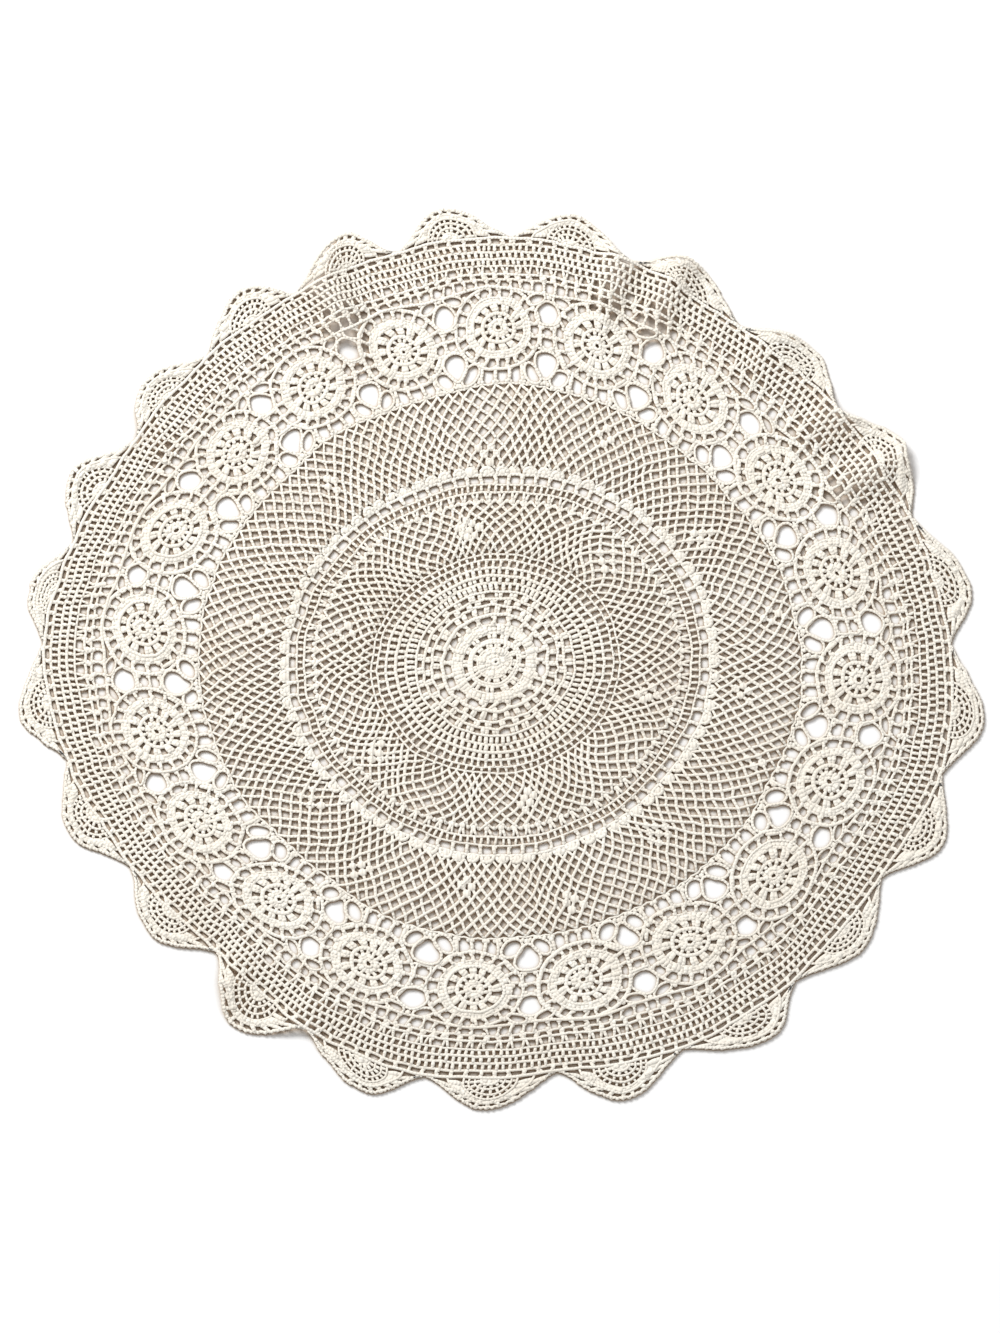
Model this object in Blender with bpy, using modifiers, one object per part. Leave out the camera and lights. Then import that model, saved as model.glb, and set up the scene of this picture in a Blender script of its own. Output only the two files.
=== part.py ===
"""A round crocheted cotton table doily, lying flat on its own.

The doily has a centre of rosette, filet and diamond net, a ring of 20 round medallions that are each
worked on their own and joined in, and a border that ends in 22 scallops.
Every piece is first drawn in an even pattern, as the crochet chart has it.
Then each point is carried to its place in the real doily, whose medallions and scallops are uneven
and whose border stands in low waves.
Units are metres and degrees, +Z is up, and the origin is under the middle of the rosette.
"""

import math
from collections import namedtuple

import bmesh
import bpy

# ---------------------------------------------------------------- driving dimensions

THREAD = 0.0017             # thickness of a crocheted chain cord
NET_HEIGHT = 0.0016         # thickness of the open net
STITCH_HEIGHT = 0.0022      # thickness of closed treble work
PIECE_GAP = 0.0003          # clearance between two pieces

RING_RADIUS = 0.220         # middle of the doily to the middle of a medallion
MEDALLION_RADIUS = 0.027
MEDALLION_COUNT = 20
MEDALLION_START = -3.0      # angle of the first medallion
MEDALLION_STEP = 360.0 / MEDALLION_COUNT
MEDALLION_SIDES = 18

CENTRE_STILL = 0.060        # inside this radius the work lies as charted
GROUND_REACH = 0.212        # the centre's disc before it is trimmed
GROUND_STEPS = 40

TIE_LENGTH = 0.0162         # the strip of two join loops between two medallions, along a radius
TIE_HOLE_LENGTH = 0.0062
TIE_HOLE_WIDTH = 0.0082
TRIM_WIDTH = 0.024          # width of the trim that keeps the strip's place free

VALLEY_RADIUS = 0.280
TIP_RADIUS = 0.301
SCALLOP_COUNT = 22
SCALLOP_START = 9.6         # angle of the first scallop's tip
SCALLOP_STEP = 360.0 / SCALLOP_COUNT
SCALLOP_COLUMNS = 6
SCALLOP_FULLNESS = 1.5      # a higher value makes the scallops more pointed
BORDER_ROWS = (0.221, 0.248, VALLEY_RADIUS)
WAVE_RIM = 0.275            # a wave has its full height from this radius outwards

CUT_DEPTH = 0.020           # height of a cutter, which passes through the whole sheet
MERGE = 0.00001

COTTON = (0.84, 0.79, 0.68, 1.0)
COTTON_ROUGHNESS = 0.9

# ---------------------------------------------------------------- the real doily's unevenness

Medallion = namedtuple("Medallion", "angle distance")
MEDALLIONS = (
    Medallion(-2.9, 0.2285),
    Medallion(15.7, 0.2230),
    Medallion(34.7, 0.2175),
    Medallion(54.9, 0.2175),
    Medallion(73.3, 0.2235),
    Medallion(89.3, 0.2270),
    Medallion(105.2, 0.2180),
    Medallion(121.3, 0.2180),
    Medallion(138.6, 0.2145),
    Medallion(156.1, 0.2195),
    Medallion(174.0, 0.2210),
    Medallion(192.5, 0.2170),
    Medallion(210.0, 0.2135),
    Medallion(229.7, 0.2085),
    Medallion(248.6, 0.2170),
    Medallion(266.8, 0.2195),
    Medallion(284.9, 0.2200),
    Medallion(303.1, 0.2235),
    Medallion(320.8, 0.2260),
    Medallion(339.2, 0.2245),
)

# The valley of a row is the one before its tip, going anticlockwise.
Scallop = namedtuple("Scallop", "valley_angle valley_radius tip_angle tip_radius")
SCALLOPS = (
    Scallop(2.5, 0.287, 10.0, 0.304),
    Scallop(20.5, 0.281, 30.5, 0.297),
    Scallop(38.5, 0.277, 46.5, 0.293),
    Scallop(56.0, 0.276, 65.5, 0.300),
    Scallop(72.5, 0.285, 80.5, 0.309),
    Scallop(88.0, 0.290, 96.0, 0.311),
    Scallop(102.5, 0.286, 108.5, 0.307),
    Scallop(116.5, 0.280, 122.5, 0.300),
    Scallop(131.0, 0.276, 139.0, 0.292),
    Scallop(146.5, 0.273, 154.5, 0.296),
    Scallop(163.0, 0.278, 170.5, 0.297),
    Scallop(177.5, 0.284, 186.5, 0.300),
    Scallop(194.0, 0.277, 203.0, 0.290),
    Scallop(211.0, 0.267, 220.0, 0.283),
    Scallop(228.0, 0.262, 236.5, 0.294),
    Scallop(244.5, 0.274, 254.5, 0.300),
    Scallop(261.0, 0.282, 268.5, 0.300),
    Scallop(278.0, 0.279, 286.0, 0.304),
    Scallop(294.5, 0.285, 304.5, 0.306),
    Scallop(311.5, 0.285, 320.0, 0.300),
    Scallop(329.0, 0.283, 336.5, 0.306),
    Scallop(345.0, 0.291, 352.5, 0.310),
)

# Low waves that run outwards through the border.
Wave = namedtuple("Wave", "angle half_width start height")
WAVES = (
    Wave(28.5, 4.5, 0.222, 0.0060),
    Wave(38.0, 4.5, 0.228, 0.0040),
    Wave(51.0, 4.5, 0.235, 0.0025),
    Wave(66.5, 4.0, 0.222, 0.0055),
    Wave(74.0, 3.6, 0.218, 0.0060),
    Wave(112.5, 4.4, 0.205, 0.0080),
    Wave(145.0, 4.5, 0.235, 0.0030),
    Wave(232.0, 4.5, 0.235, 0.0035),
    Wave(243.5, 4.5, 0.235, 0.0030),
)

# ---------------------------------------------------------------- charted sections and holes

# The centre's section, from the middle outwards: raised where the trebles are closed.
Row = namedtuple("Row", "radius height")
GROUND_SECTION = (
    Row(0.0100, STITCH_HEIGHT),
    Row(0.0140, NET_HEIGHT),
    Row(0.0190, STITCH_HEIGHT),
    Row(0.0260, STITCH_HEIGHT),
    Row(0.0330, NET_HEIGHT),
    Row(0.1120, NET_HEIGHT),
    Row(0.1180, STITCH_HEIGHT),
    Row(0.1330, STITCH_HEIGHT),
    Row(0.1370, NET_HEIGHT),
    Row(GROUND_REACH, NET_HEIGHT),
)
MEDALLION_SECTION = (
    Row(0.0085, NET_HEIGHT),
    Row(0.0145, STITCH_HEIGHT),
    Row(0.0210, STITCH_HEIGHT),
    Row(MEDALLION_RADIUS, NET_HEIGHT),
)

# Holes are outlined in a frame whose first axis runs across a radius and the second along it.
# The ones beside a join strip are measured from the middle of the doily.
Corner = namedtuple("Corner", "across along")
INNER_EGG = (
    Corner(0.0, 0.1895),
    Corner(0.0072, 0.2000),
    Corner(0.0062, 0.2045),
    Corner(0.0034, 0.2073),
)
INNER_SIDE_HOLE = (
    Corner(0.0032, 0.1880),
    Corner(0.0095, 0.1982),
    Corner(0.0124, 0.1950),
    Corner(0.0150, 0.1900),
    Corner(0.0122, 0.1868),
    Corner(0.0070, 0.1862),
)
OUTER_EGG = (
    Corner(0.0, 0.2425),
    Corner(0.0074, 0.2350),
    Corner(0.0066, 0.2300),
    Corner(0.0034, 0.2272),
)
OUTER_SIDE_HOLE = (
    Corner(0.0030, 0.2434),
    Corner(0.0098, 0.2368),
    Corner(0.0138, 0.2408),
    Corner(0.0150, 0.2446),
    Corner(0.0080, 0.2456),
)

# Small round-cornered loops: their places are angles from a medallion's own radius.
Loop = namedtuple("Loop", "angle radius width length")
INNER_LOOPS = (
    Loop(-3.1, 0.1893, 0.0070, 0.0054),
    Loop(0.0, 0.1886, 0.0074, 0.0058),
    Loop(3.1, 0.1893, 0.0070, 0.0054),
)
OUTER_LOOPS = (
    Loop(-0.9, 0.2507, 0.0060, 0.0048),
    Loop(0.9, 0.2507, 0.0060, 0.0048),
)
ROSETTE_LOOP_COUNT = 20
ROSETTE_LOOP = Loop(0.0, 0.0290, 0.0050, 0.0058)
LOOP_CORNERS = 6

# Closed stitch clusters that stand in the open net.
Cluster = namedtuple("Cluster", "angle radius")
CLUSTERS = (
    Cluster(44.0, 0.0955),
    Cluster(100.0, 0.0955),
    Cluster(168.0, 0.0955),
    Cluster(219.0, 0.0955),
    Cluster(282.0, 0.0955),
    Cluster(347.0, 0.0955),
    Cluster(10.2, 0.174),
    Cluster(32.9, 0.151),
    Cluster(63.9, 0.169),
    Cluster(90.9, 0.146),
    Cluster(131.2, 0.163),
    Cluster(171.8, 0.152),
    Cluster(194.7, 0.169),
    Cluster(218.6, 0.149),
    Cluster(238.8, 0.166),
    Cluster(263.6, 0.152),
    Cluster(287.1, 0.168),
    Cluster(311.6, 0.151),
    Cluster(338.0, 0.171),
    Cluster(352.6, 0.153),
)
CLUSTER_RADIUS = 0.0085
CLUSTER_TOP = 0.62          # its flat top as a share of its foot
CLUSTER_RISE = 0.0007       # how far it stands above the net


# ---------------------------------------------------------------- from the chart to the real doily

def unevenness(angles, radii, start, step, radius):
    """Return how far each place of a ring is turned and moved outwards from the chart."""
    turns = [angle - (start + step * index) for index, angle in enumerate(angles)]
    reaches = [value - radius for value in radii]
    return turns, reaches


RING_SHIFT = unevenness([row.angle for row in MEDALLIONS], [row.distance for row in MEDALLIONS],
                        MEDALLION_START, MEDALLION_STEP, RING_RADIUS)
VALLEY_SHIFT = unevenness([row.valley_angle for row in SCALLOPS],
                          [row.valley_radius for row in SCALLOPS],
                          SCALLOP_START - SCALLOP_STEP / 2, SCALLOP_STEP, VALLEY_RADIUS)
TIP_SHIFT = unevenness([row.tip_angle for row in SCALLOPS], [row.tip_radius for row in SCALLOPS],
                       SCALLOP_START, SCALLOP_STEP, TIP_RADIUS)


def around(values, place):
    """Read a closed row of values at a fractional place, on a smooth curve through them."""
    low = math.floor(place)
    share = place - low
    before, here, after, beyond = (values[(low + offset) % len(values)] for offset in (-1, 0, 1, 2))
    bend = 2 * before - 5 * here + 4 * after - beyond
    twist = 3 * (here - after) + beyond - before
    return here + 0.5 * share * (after - before + share * (bend + share * twist))


def shift_at(shift, start, step, angle):
    """Return a ring's turn and reach at an angle of the chart."""
    place = (angle - start) / step
    return around(shift[0], place), around(shift[1], place)


def smooth_step(value, low, high):
    """Rise smoothly from 0 at low to 1 at high."""
    share = min(max((value - low) / (high - low), 0.0), 1.0)
    return share * share * (3 - 2 * share)


def settle(angle, radius):
    """Carry a point of the even chart to its angle and radius in the real doily."""
    levels = (
        (CENTRE_STILL, (0.0, 0.0)),
        (RING_RADIUS, shift_at(RING_SHIFT, MEDALLION_START, MEDALLION_STEP, angle)),
        (VALLEY_RADIUS, shift_at(VALLEY_SHIFT, SCALLOP_START - SCALLOP_STEP / 2, SCALLOP_STEP, angle)),
        (TIP_RADIUS, shift_at(TIP_SHIFT, SCALLOP_START, SCALLOP_STEP, angle)),
    )
    if radius <= CENTRE_STILL:
        return angle, radius
    for (low, inner), (high, outer) in zip(levels, levels[1:]):
        if radius <= high:
            break
    share = min((radius - low) / (high - low), 1.0)
    turn = inner[0] + (outer[0] - inner[0]) * share
    reach = inner[1] + (outer[1] - inner[1]) * share
    return angle + turn, radius + reach


def wave_height(angle, radius):
    """Return how far the waves lift the cloth at a place in the real doily."""
    lift = 0.0
    for wave in WAVES:
        offset = (angle - wave.angle + 180.0) % 360.0 - 180.0
        if abs(offset) < wave.half_width:
            crest = math.cos(math.pi / 2 * offset / wave.half_width) ** 2
            lift += wave.height * crest * smooth_step(radius, wave.start, WAVE_RIM)
    return lift


def polar(angle, radius):
    """Return the X and Y of a place."""
    turn = math.radians(angle)
    return radius * math.cos(turn), radius * math.sin(turn)


def lay_out(mesh):
    """Carry every point of a charted mesh to its place in the real doily."""
    for vertex in mesh.vertices:
        angle = math.degrees(math.atan2(vertex.co.y, vertex.co.x))
        angle, radius = settle(angle, math.hypot(vertex.co.x, vertex.co.y))
        x, y = polar(angle, radius)
        vertex.co = (x, y, vertex.co.z + wave_height(angle, radius))


# ---------------------------------------------------------------- modelling helpers

def clear_scene():
    """Remove every object of the open file."""
    for thing in list(bpy.data.objects):
        bpy.data.objects.remove(thing, do_unlink=True)


def make_collection(name):
    """Add a collection to the scene."""
    collection = bpy.data.collections.new(name)
    bpy.context.scene.collection.children.link(collection)
    return collection


def make_cotton():
    """Make the cream cotton's material."""
    material = bpy.data.materials.new("cream_cotton")
    material.use_nodes = True
    shader = material.node_tree.nodes["Principled BSDF"]
    shader.inputs["Base Color"].default_value = COTTON
    shader.inputs["Roughness"].default_value = COTTON_ROUGHNESS
    shader.inputs["Metallic"].default_value = 0.0
    material.diffuse_color = COTTON
    return material


def add_mesh(name, shape, collection):
    """Make an object of a bmesh, which is freed."""
    mesh = bpy.data.meshes.new(name)
    shape.to_mesh(mesh)
    shape.free()
    thing = bpy.data.objects.new(name, mesh)
    collection.objects.link(thing)
    return thing


def evaluated_mesh(thing):
    """Return a new mesh of an object with its modifiers applied."""
    bpy.context.view_layer.update()
    graph = bpy.context.evaluated_depsgraph_get()
    return bpy.data.meshes.new_from_object(thing.evaluated_get(graph))


def bake_modifiers(thing):
    """Give an object the mesh that its modifiers make, in triangles."""
    mesh = evaluated_mesh(thing)
    thing.modifiers.clear()
    shape = bmesh.new()
    shape.from_mesh(mesh)
    bmesh.ops.remove_doubles(shape, verts=shape.verts, dist=MERGE)
    bmesh.ops.triangulate(shape, faces=shape.faces)
    shape.to_mesh(mesh)
    shape.free()
    thing.data = mesh


def turned_sheet(name, section, steps, collection):
    """Turn a section into a closed disc whose underside is flat."""
    shape = bmesh.new()
    points = [(0.0, 0.0, section[0].height)]
    points += [(row.radius, 0.0, row.height) for row in section]
    points += [(section[-1].radius, 0.0, 0.0), (0.0, 0.0, 0.0)]
    corners = [shape.verts.new(point) for point in points]
    for start, end in zip(corners, corners[1:]):
        shape.edges.new((start, end))
    thing = add_mesh(name, shape, collection)
    screw = thing.modifiers.new("turn", "SCREW")
    screw.steps = steps
    screw.render_steps = steps
    screw.use_merge_vertices = True
    screw.merge_threshold = MERGE
    screw.use_smooth_shade = False
    return thing


def outline_cutter(name, outlines, collection):
    """Make one cutter of many flat outlines, through the sheet."""
    curve = bpy.data.curves.new(name, "CURVE")
    curve.dimensions = "2D"
    curve.fill_mode = "BOTH"
    curve.extrude = CUT_DEPTH / 2
    for outline in outlines:
        spline = curve.splines.new("POLY")
        spline.points.add(len(outline) - 1)
        for point, (x, y) in zip(spline.points, outline):
            point.co = (x, y, 0.0, 1.0)
        spline.use_cyclic_u = True
    drawing = bpy.data.objects.new(name, curve)
    collection.objects.link(drawing)
    shape = bmesh.new()
    shape.from_mesh(evaluated_mesh(drawing))
    bpy.data.objects.remove(drawing, do_unlink=True)
    bmesh.ops.remove_doubles(shape, verts=shape.verts, dist=MERGE)
    bmesh.ops.recalc_face_normals(shape, faces=shape.faces)
    cutter = add_mesh(name, shape, collection)
    cutter.hide_render = True
    cutter.display_type = "WIRE"
    return cutter


def add_boolean(thing, other, operation):
    """Join an object to another, or cut it with it."""
    boolean = thing.modifiers.new(operation.lower(), "BOOLEAN")
    boolean.operation = operation
    boolean.solver = "EXACT"
    boolean.object = other


# ---------------------------------------------------------------- outlines of the chart

def place(angle, corner):
    """Turn a corner, across and along a radius, to that radius's angle."""
    turn = math.radians(angle)
    x = corner.along * math.cos(turn) - corner.across * math.sin(turn)
    y = corner.along * math.sin(turn) + corner.across * math.cos(turn)
    return x, y


def medallion_angle(index):
    """Return a medallion's angle in the chart."""
    return MEDALLION_START + MEDALLION_STEP * index


def gap_angle(index):
    """Return the angle midway between a medallion and the next."""
    return medallion_angle(index) + MEDALLION_STEP / 2


def medallion_outline(index, clearance):
    """Return the rim of a medallion's place, with the same corners as the medallion."""
    angle = medallion_angle(index)
    middle = polar(angle, RING_RADIUS)
    rim = []
    for side in range(MEDALLION_SIDES):
        x, y = polar(angle + 360.0 * side / MEDALLION_SIDES, MEDALLION_RADIUS + clearance)
        rim.append((middle[0] + x, middle[1] + y))
    return rim


def rectangle(angle, radius, width, length):
    """Return a rectangle across a radius."""
    corners = (Corner(-width / 2, radius - length / 2), Corner(width / 2, radius - length / 2),
               Corner(width / 2, radius + length / 2), Corner(-width / 2, radius + length / 2))
    return [place(angle, corner) for corner in corners]


def rounded_loop(angle, radius, width, length):
    """Return a loop's hole as an oval of a few corners."""
    outline = []
    for index in range(LOOP_CORNERS):
        across, along = polar(360.0 * index / LOOP_CORNERS, 1.0)
        corner = Corner(across * width / 2, radius + along * length / 2 / math.cos(math.pi / LOOP_CORNERS))
        outline.append(place(angle, corner))
    return outline


def mirrored(corners):
    """Return corners on the other side of their radius."""
    return [Corner(-corner.across, corner.along) for corner in reversed(corners)]


def whole_egg(half):
    """Return an egg's outline from its half, whose first corner is on the radius."""
    return list(half) + mirrored(half[1:])


def gap_holes(egg, side_hole):
    """Return the three large holes of every gap between medallions."""
    outlines = []
    for index in range(MEDALLION_COUNT):
        angle = gap_angle(index)
        for corners in (whole_egg(egg), side_hole, mirrored(side_hole)):
            outlines.append([place(angle, corner) for corner in corners])
    return outlines


def loop_holes(loops):
    """Return the join loops that lie in front of every medallion."""
    outlines = []
    for index in range(MEDALLION_COUNT):
        for loop in loops:
            outlines.append(rounded_loop(medallion_angle(index) + loop.angle, loop.radius,
                                         loop.width, loop.length))
    return outlines


def rosette_holes():
    """Return the ring of loops around the rosette."""
    step = 360.0 / ROSETTE_LOOP_COUNT
    loop = ROSETTE_LOOP
    return [rounded_loop(step * index, loop.radius, loop.width, loop.length)
            for index in range(ROSETTE_LOOP_COUNT)]


def tie_radius():
    """Return the radius of the middle of a join strip."""
    return RING_RADIUS * math.cos(math.radians(MEDALLION_STEP / 2))


def scallop_edge(angle):
    """Return the border's outer radius at an angle of the chart."""
    turn = (angle - SCALLOP_START) / SCALLOP_STEP
    from_tip = 2 * abs(turn - round(turn))
    rise = math.cos(math.pi / 2 * from_tip) ** SCALLOP_FULLNESS
    return VALLEY_RADIUS + THREAD / 2 + (TIP_RADIUS - VALLEY_RADIUS - THREAD / 2) * rise


# ---------------------------------------------------------------- the pieces

def make_trims(cutters):
    """Make the cutters that keep the medallions' and join strips' places free."""
    indexes = range(MEDALLION_COUNT)
    rims = [medallion_outline(index, PIECE_GAP) for index in indexes]
    strips = [rectangle(gap_angle(index), tie_radius(), TRIM_WIDTH, TIE_LENGTH + 2 * PIECE_GAP)
              for index in indexes]
    return (outline_cutter("trim_medallions", rims, cutters),
            outline_cutter("trim_strips", strips, cutters))


def add_clusters(ground, cutters):
    """Raise the closed stitch clusters on the net."""
    shape = bmesh.new()
    for cluster in CLUSTERS:
        found = bmesh.ops.create_cone(shape, cap_ends=True, segments=4, radius1=CLUSTER_RADIUS,
                                      radius2=CLUSTER_RADIUS * CLUSTER_TOP,
                                      depth=NET_HEIGHT / 2 + CLUSTER_RISE)
        turn = math.radians(cluster.angle)
        x, y = polar(cluster.angle, cluster.radius)
        for vertex in found["verts"]:
            across, along = vertex.co.x, vertex.co.y
            vertex.co.x = x + along * math.cos(turn) - across * math.sin(turn)
            vertex.co.y = y + along * math.sin(turn) + across * math.cos(turn)
            vertex.co.z += (NET_HEIGHT * 1.5 + CLUSTER_RISE) / 2
    clusters = add_mesh("clusters", shape, cutters)
    clusters.hide_render = True
    clusters.display_type = "WIRE"
    add_boolean(ground, clusters, "UNION")


def make_ground(parts, cutters, trims):
    """Make the centre: rosette, filet and nets, out to the first join loops."""
    ground = turned_sheet("ground", GROUND_SECTION, GROUND_STEPS, parts)
    add_clusters(ground, cutters)
    for trim in trims:
        add_boolean(ground, trim, "DIFFERENCE")
    holes = gap_holes(INNER_EGG, INNER_SIDE_HOLE) + loop_holes(INNER_LOOPS) + rosette_holes()
    add_boolean(ground, outline_cutter("ground_holes", holes, cutters), "DIFFERENCE")
    bake_modifiers(ground)
    lay_out(ground.data)
    return ground


def make_charted_medallion(parts, cutters):
    """Make one medallion with its join strip, on the chart's first place."""
    medallion = turned_sheet("medallion", MEDALLION_SECTION, MEDALLION_SIDES, parts)
    bake_modifiers(medallion)
    turn = math.radians(medallion_angle(0))
    middle = polar(medallion_angle(0), RING_RADIUS)
    for vertex in medallion.data.vertices:
        x, y = vertex.co.x, vertex.co.y
        vertex.co.x = middle[0] + x * math.cos(turn) - y * math.sin(turn)
        vertex.co.y = middle[1] + x * math.sin(turn) + y * math.cos(turn)

    strip = outline_cutter("join_strip", [rectangle(gap_angle(0), tie_radius(), TRIM_WIDTH,
                                                    TIE_LENGTH)], cutters)
    for vertex in strip.data.vertices:
        vertex.co.z = NET_HEIGHT if vertex.co.z > 0 else 0.0
    add_boolean(medallion, strip, "UNION")
    neighbour = outline_cutter("trim_neighbour", [medallion_outline(1, PIECE_GAP)], cutters)
    add_boolean(medallion, neighbour, "DIFFERENCE")
    offset = (TIE_HOLE_LENGTH + THREAD) / 2
    loops = [rounded_loop(gap_angle(0), tie_radius() + side * offset, TIE_HOLE_WIDTH, TIE_HOLE_LENGTH)
             for side in (-1, 1)]
    add_boolean(medallion, outline_cutter("join_loops", loops, cutters), "DIFFERENCE")
    bake_modifiers(medallion)
    return medallion


def make_medallions(parts, cutters):
    """Copy the charted medallion to every place, each copy with its own mesh."""
    charted = make_charted_medallion(parts, cutters)
    medallions = []
    for index in range(MEDALLION_COUNT):
        mesh = charted.data.copy()
        turn = math.radians(MEDALLION_STEP * index)
        for vertex in mesh.vertices:
            x, y = vertex.co.x, vertex.co.y
            vertex.co.x = x * math.cos(turn) - y * math.sin(turn)
            vertex.co.y = x * math.sin(turn) + y * math.cos(turn)
        lay_out(mesh)
        medallion = bpy.data.objects.new(f"medallion_{index + 1:02d}", mesh)
        parts.objects.link(medallion)
        medallions.append(medallion)
    bpy.data.objects.remove(charted, do_unlink=True)
    return medallions


def make_border(parts, cutters, trims):
    """Make the border, from its outer join loops to the scallops' edge."""
    columns = SCALLOP_COUNT * SCALLOP_COLUMNS
    angles = [SCALLOP_START + 360.0 * index / columns for index in range(columns)]
    shape = bmesh.new()
    found = bmesh.ops.create_circle(shape, segments=columns, radius=BORDER_ROWS[0])
    row = found["verts"]
    for vertex, angle in zip(row, angles):
        vertex.co.x, vertex.co.y = polar(angle, BORDER_ROWS[0])
    edges = list(shape.edges)
    for radius in BORDER_ROWS[1:] + (None,):
        grown = bmesh.ops.extrude_edge_only(shape, edges=edges)["geom"]
        edges = [part for part in grown if isinstance(part, bmesh.types.BMEdge)]
        for vertex in (part for part in grown if isinstance(part, bmesh.types.BMVert)):
            angle = math.degrees(math.atan2(vertex.co.y, vertex.co.x))
            reach = scallop_edge(angle) if radius is None else radius
            vertex.co.x, vertex.co.y = polar(angle, reach)
    bmesh.ops.recalc_face_normals(shape, faces=shape.faces)
    if sum(face.normal.z for face in shape.faces) < 0:
        bmesh.ops.reverse_faces(shape, faces=shape.faces)
    border = add_mesh("border", shape, parts)
    solidify = border.modifiers.new("thickness", "SOLIDIFY")
    solidify.thickness = (NET_HEIGHT + STITCH_HEIGHT) / 2
    solidify.offset = 1.0
    for trim in trims:
        add_boolean(border, trim, "DIFFERENCE")
    holes = gap_holes(OUTER_EGG, OUTER_SIDE_HOLE) + loop_holes(OUTER_LOOPS)
    add_boolean(border, outline_cutter("border_holes", holes, cutters), "DIFFERENCE")
    bake_modifiers(border)
    lay_out(border.data)
    return border


def main():
    """Build the doily."""
    clear_scene()
    parts = make_collection("lace_doily")
    cutters = make_collection("cutters")
    cotton = make_cotton()
    trims = make_trims(cutters)
    pieces = [make_ground(parts, cutters, trims)]
    pieces += make_medallions(parts, cutters)
    pieces.append(make_border(parts, cutters, trims))
    for piece in pieces:
        piece.data.materials.append(cotton)


main()
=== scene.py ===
"""Looks of a round crocheted cotton doily that lies flat on a pale surface.

Every chain, treble and knot is a small closed tube or bead of cotton thread.
The stitches are first placed in an even chart, ring by ring, as the doily is worked.
The layout then carries each point to the real doily, whose rings, medallions and scallops are
uneven and whose border stands in low waves.
Lengths are millimetres in the chart and in the tables, and angles are degrees.
Only the meshes, the finishes and the studio are in metres.
"""

from __future__ import annotations

import logging
import math
from dataclasses import dataclass, field
from enum import Enum
from typing import NamedTuple, Sequence

import bpy
import numpy as np
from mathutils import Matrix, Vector

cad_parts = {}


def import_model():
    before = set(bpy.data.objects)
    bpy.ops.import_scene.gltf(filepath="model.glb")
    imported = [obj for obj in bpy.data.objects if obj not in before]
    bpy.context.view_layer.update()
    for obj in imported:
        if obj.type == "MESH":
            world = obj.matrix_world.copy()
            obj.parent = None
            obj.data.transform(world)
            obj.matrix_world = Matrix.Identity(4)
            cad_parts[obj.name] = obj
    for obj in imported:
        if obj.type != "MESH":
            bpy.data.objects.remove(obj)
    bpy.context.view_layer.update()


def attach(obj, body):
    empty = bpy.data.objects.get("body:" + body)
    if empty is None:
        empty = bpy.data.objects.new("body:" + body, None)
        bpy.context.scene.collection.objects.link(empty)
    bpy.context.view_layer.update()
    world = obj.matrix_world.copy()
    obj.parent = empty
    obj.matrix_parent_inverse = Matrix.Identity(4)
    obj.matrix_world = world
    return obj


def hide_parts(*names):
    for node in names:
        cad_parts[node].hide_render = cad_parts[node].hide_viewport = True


LOG = logging.getLogger("doily")

Array = np.ndarray
Number = Array | float
Colour = tuple[float, float, float, float]
Socket = bpy.types.NodeSocket

MM = 0.001
FULL_TURN = 360.0
HALF_TURN = 180.0

# The chart's main rings, as in the solids.
RING_RADIUS = 220.0
MEDALLION_COUNT = 20
MEDALLION_START = -3.0
MEDALLION_STEP = FULL_TURN / MEDALLION_COUNT
MEDALLION_ANGLES = tuple(MEDALLION_START + index * MEDALLION_STEP
                         for index in range(MEDALLION_COUNT))
VALLEY_RADIUS = 280.0
TIP_RADIUS = 301.0
SCALLOP_COUNT = 22
SCALLOP_START = 9.6
SCALLOP_STEP = FULL_TURN / SCALLOP_COUNT
SCALLOP_FULLNESS = 1.5
WAVE_RIM = 275.0


class Medallion(NamedTuple):
    """Where a medallion's middle lies in the real doily."""

    angle: float
    distance: float


class Scallop(NamedTuple):
    """Where a scallop's tip and the valley before it lie in the real doily."""

    valley_angle: float
    valley_radius: float
    tip_angle: float
    tip_radius: float


class InnerRing(NamedTuple):
    """A charted ring near the middle and its real radii, every 45 degrees from the right side."""

    radius: float
    real_radii: tuple[float, ...]


class Wave(NamedTuple):
    """A low wave that runs outwards through the border."""

    angle: float
    half_width: float
    start: float
    height: float


class Cluster(NamedTuple):
    """A closed stitch cluster that stands in the open net."""

    angle: float
    radius: float


INNER_RINGS = (
    InnerRing(42.0, (42.5, 42.5, 40.7, 40.9, 42.2, 43.0, 41.9, 41.6)),
    InnerRing(73.4, (76.0, 74.6, 70.6, 69.8, 74.8, 75.4, 72.4, 73.3)),
    InnerRing(127.4, (132.6, 131.5, 124.0, 124.0, 127.2, 125.3, 127.0, 128.4)),
)

# how far the border's rows lie outside their charted place, every 30 degrees from the right side
BORDER_REACH = (-1.0, -2.2, 0.3, -0.5, 0.4, -0.6, -0.8, -1.8, -1.7, -1.9, -0.8, -2.8)
# the radii from and to which they do so, with a soft start and end
BORDER_ROWS = (226.0, 250.0, 272.0, 284.0)
BORDER_SHARES = (0, 1, 1, 0)

MEDALLIONS = (
    Medallion(-2.9, 228.5),
    Medallion(15.7, 223.0),
    Medallion(34.7, 217.5),
    Medallion(54.9, 217.5),
    Medallion(73.3, 223.5),
    Medallion(89.3, 227.0),
    Medallion(105.2, 218.0),
    Medallion(121.3, 218.0),
    Medallion(138.6, 214.5),
    Medallion(156.1, 219.5),
    Medallion(174.0, 221.0),
    Medallion(192.5, 217.0),
    Medallion(210.0, 213.5),
    Medallion(229.7, 208.5),
    Medallion(248.6, 217.0),
    Medallion(266.8, 219.5),
    Medallion(284.9, 220.0),
    Medallion(303.1, 223.5),
    Medallion(320.8, 226.0),
    Medallion(339.2, 224.5),
)

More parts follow.
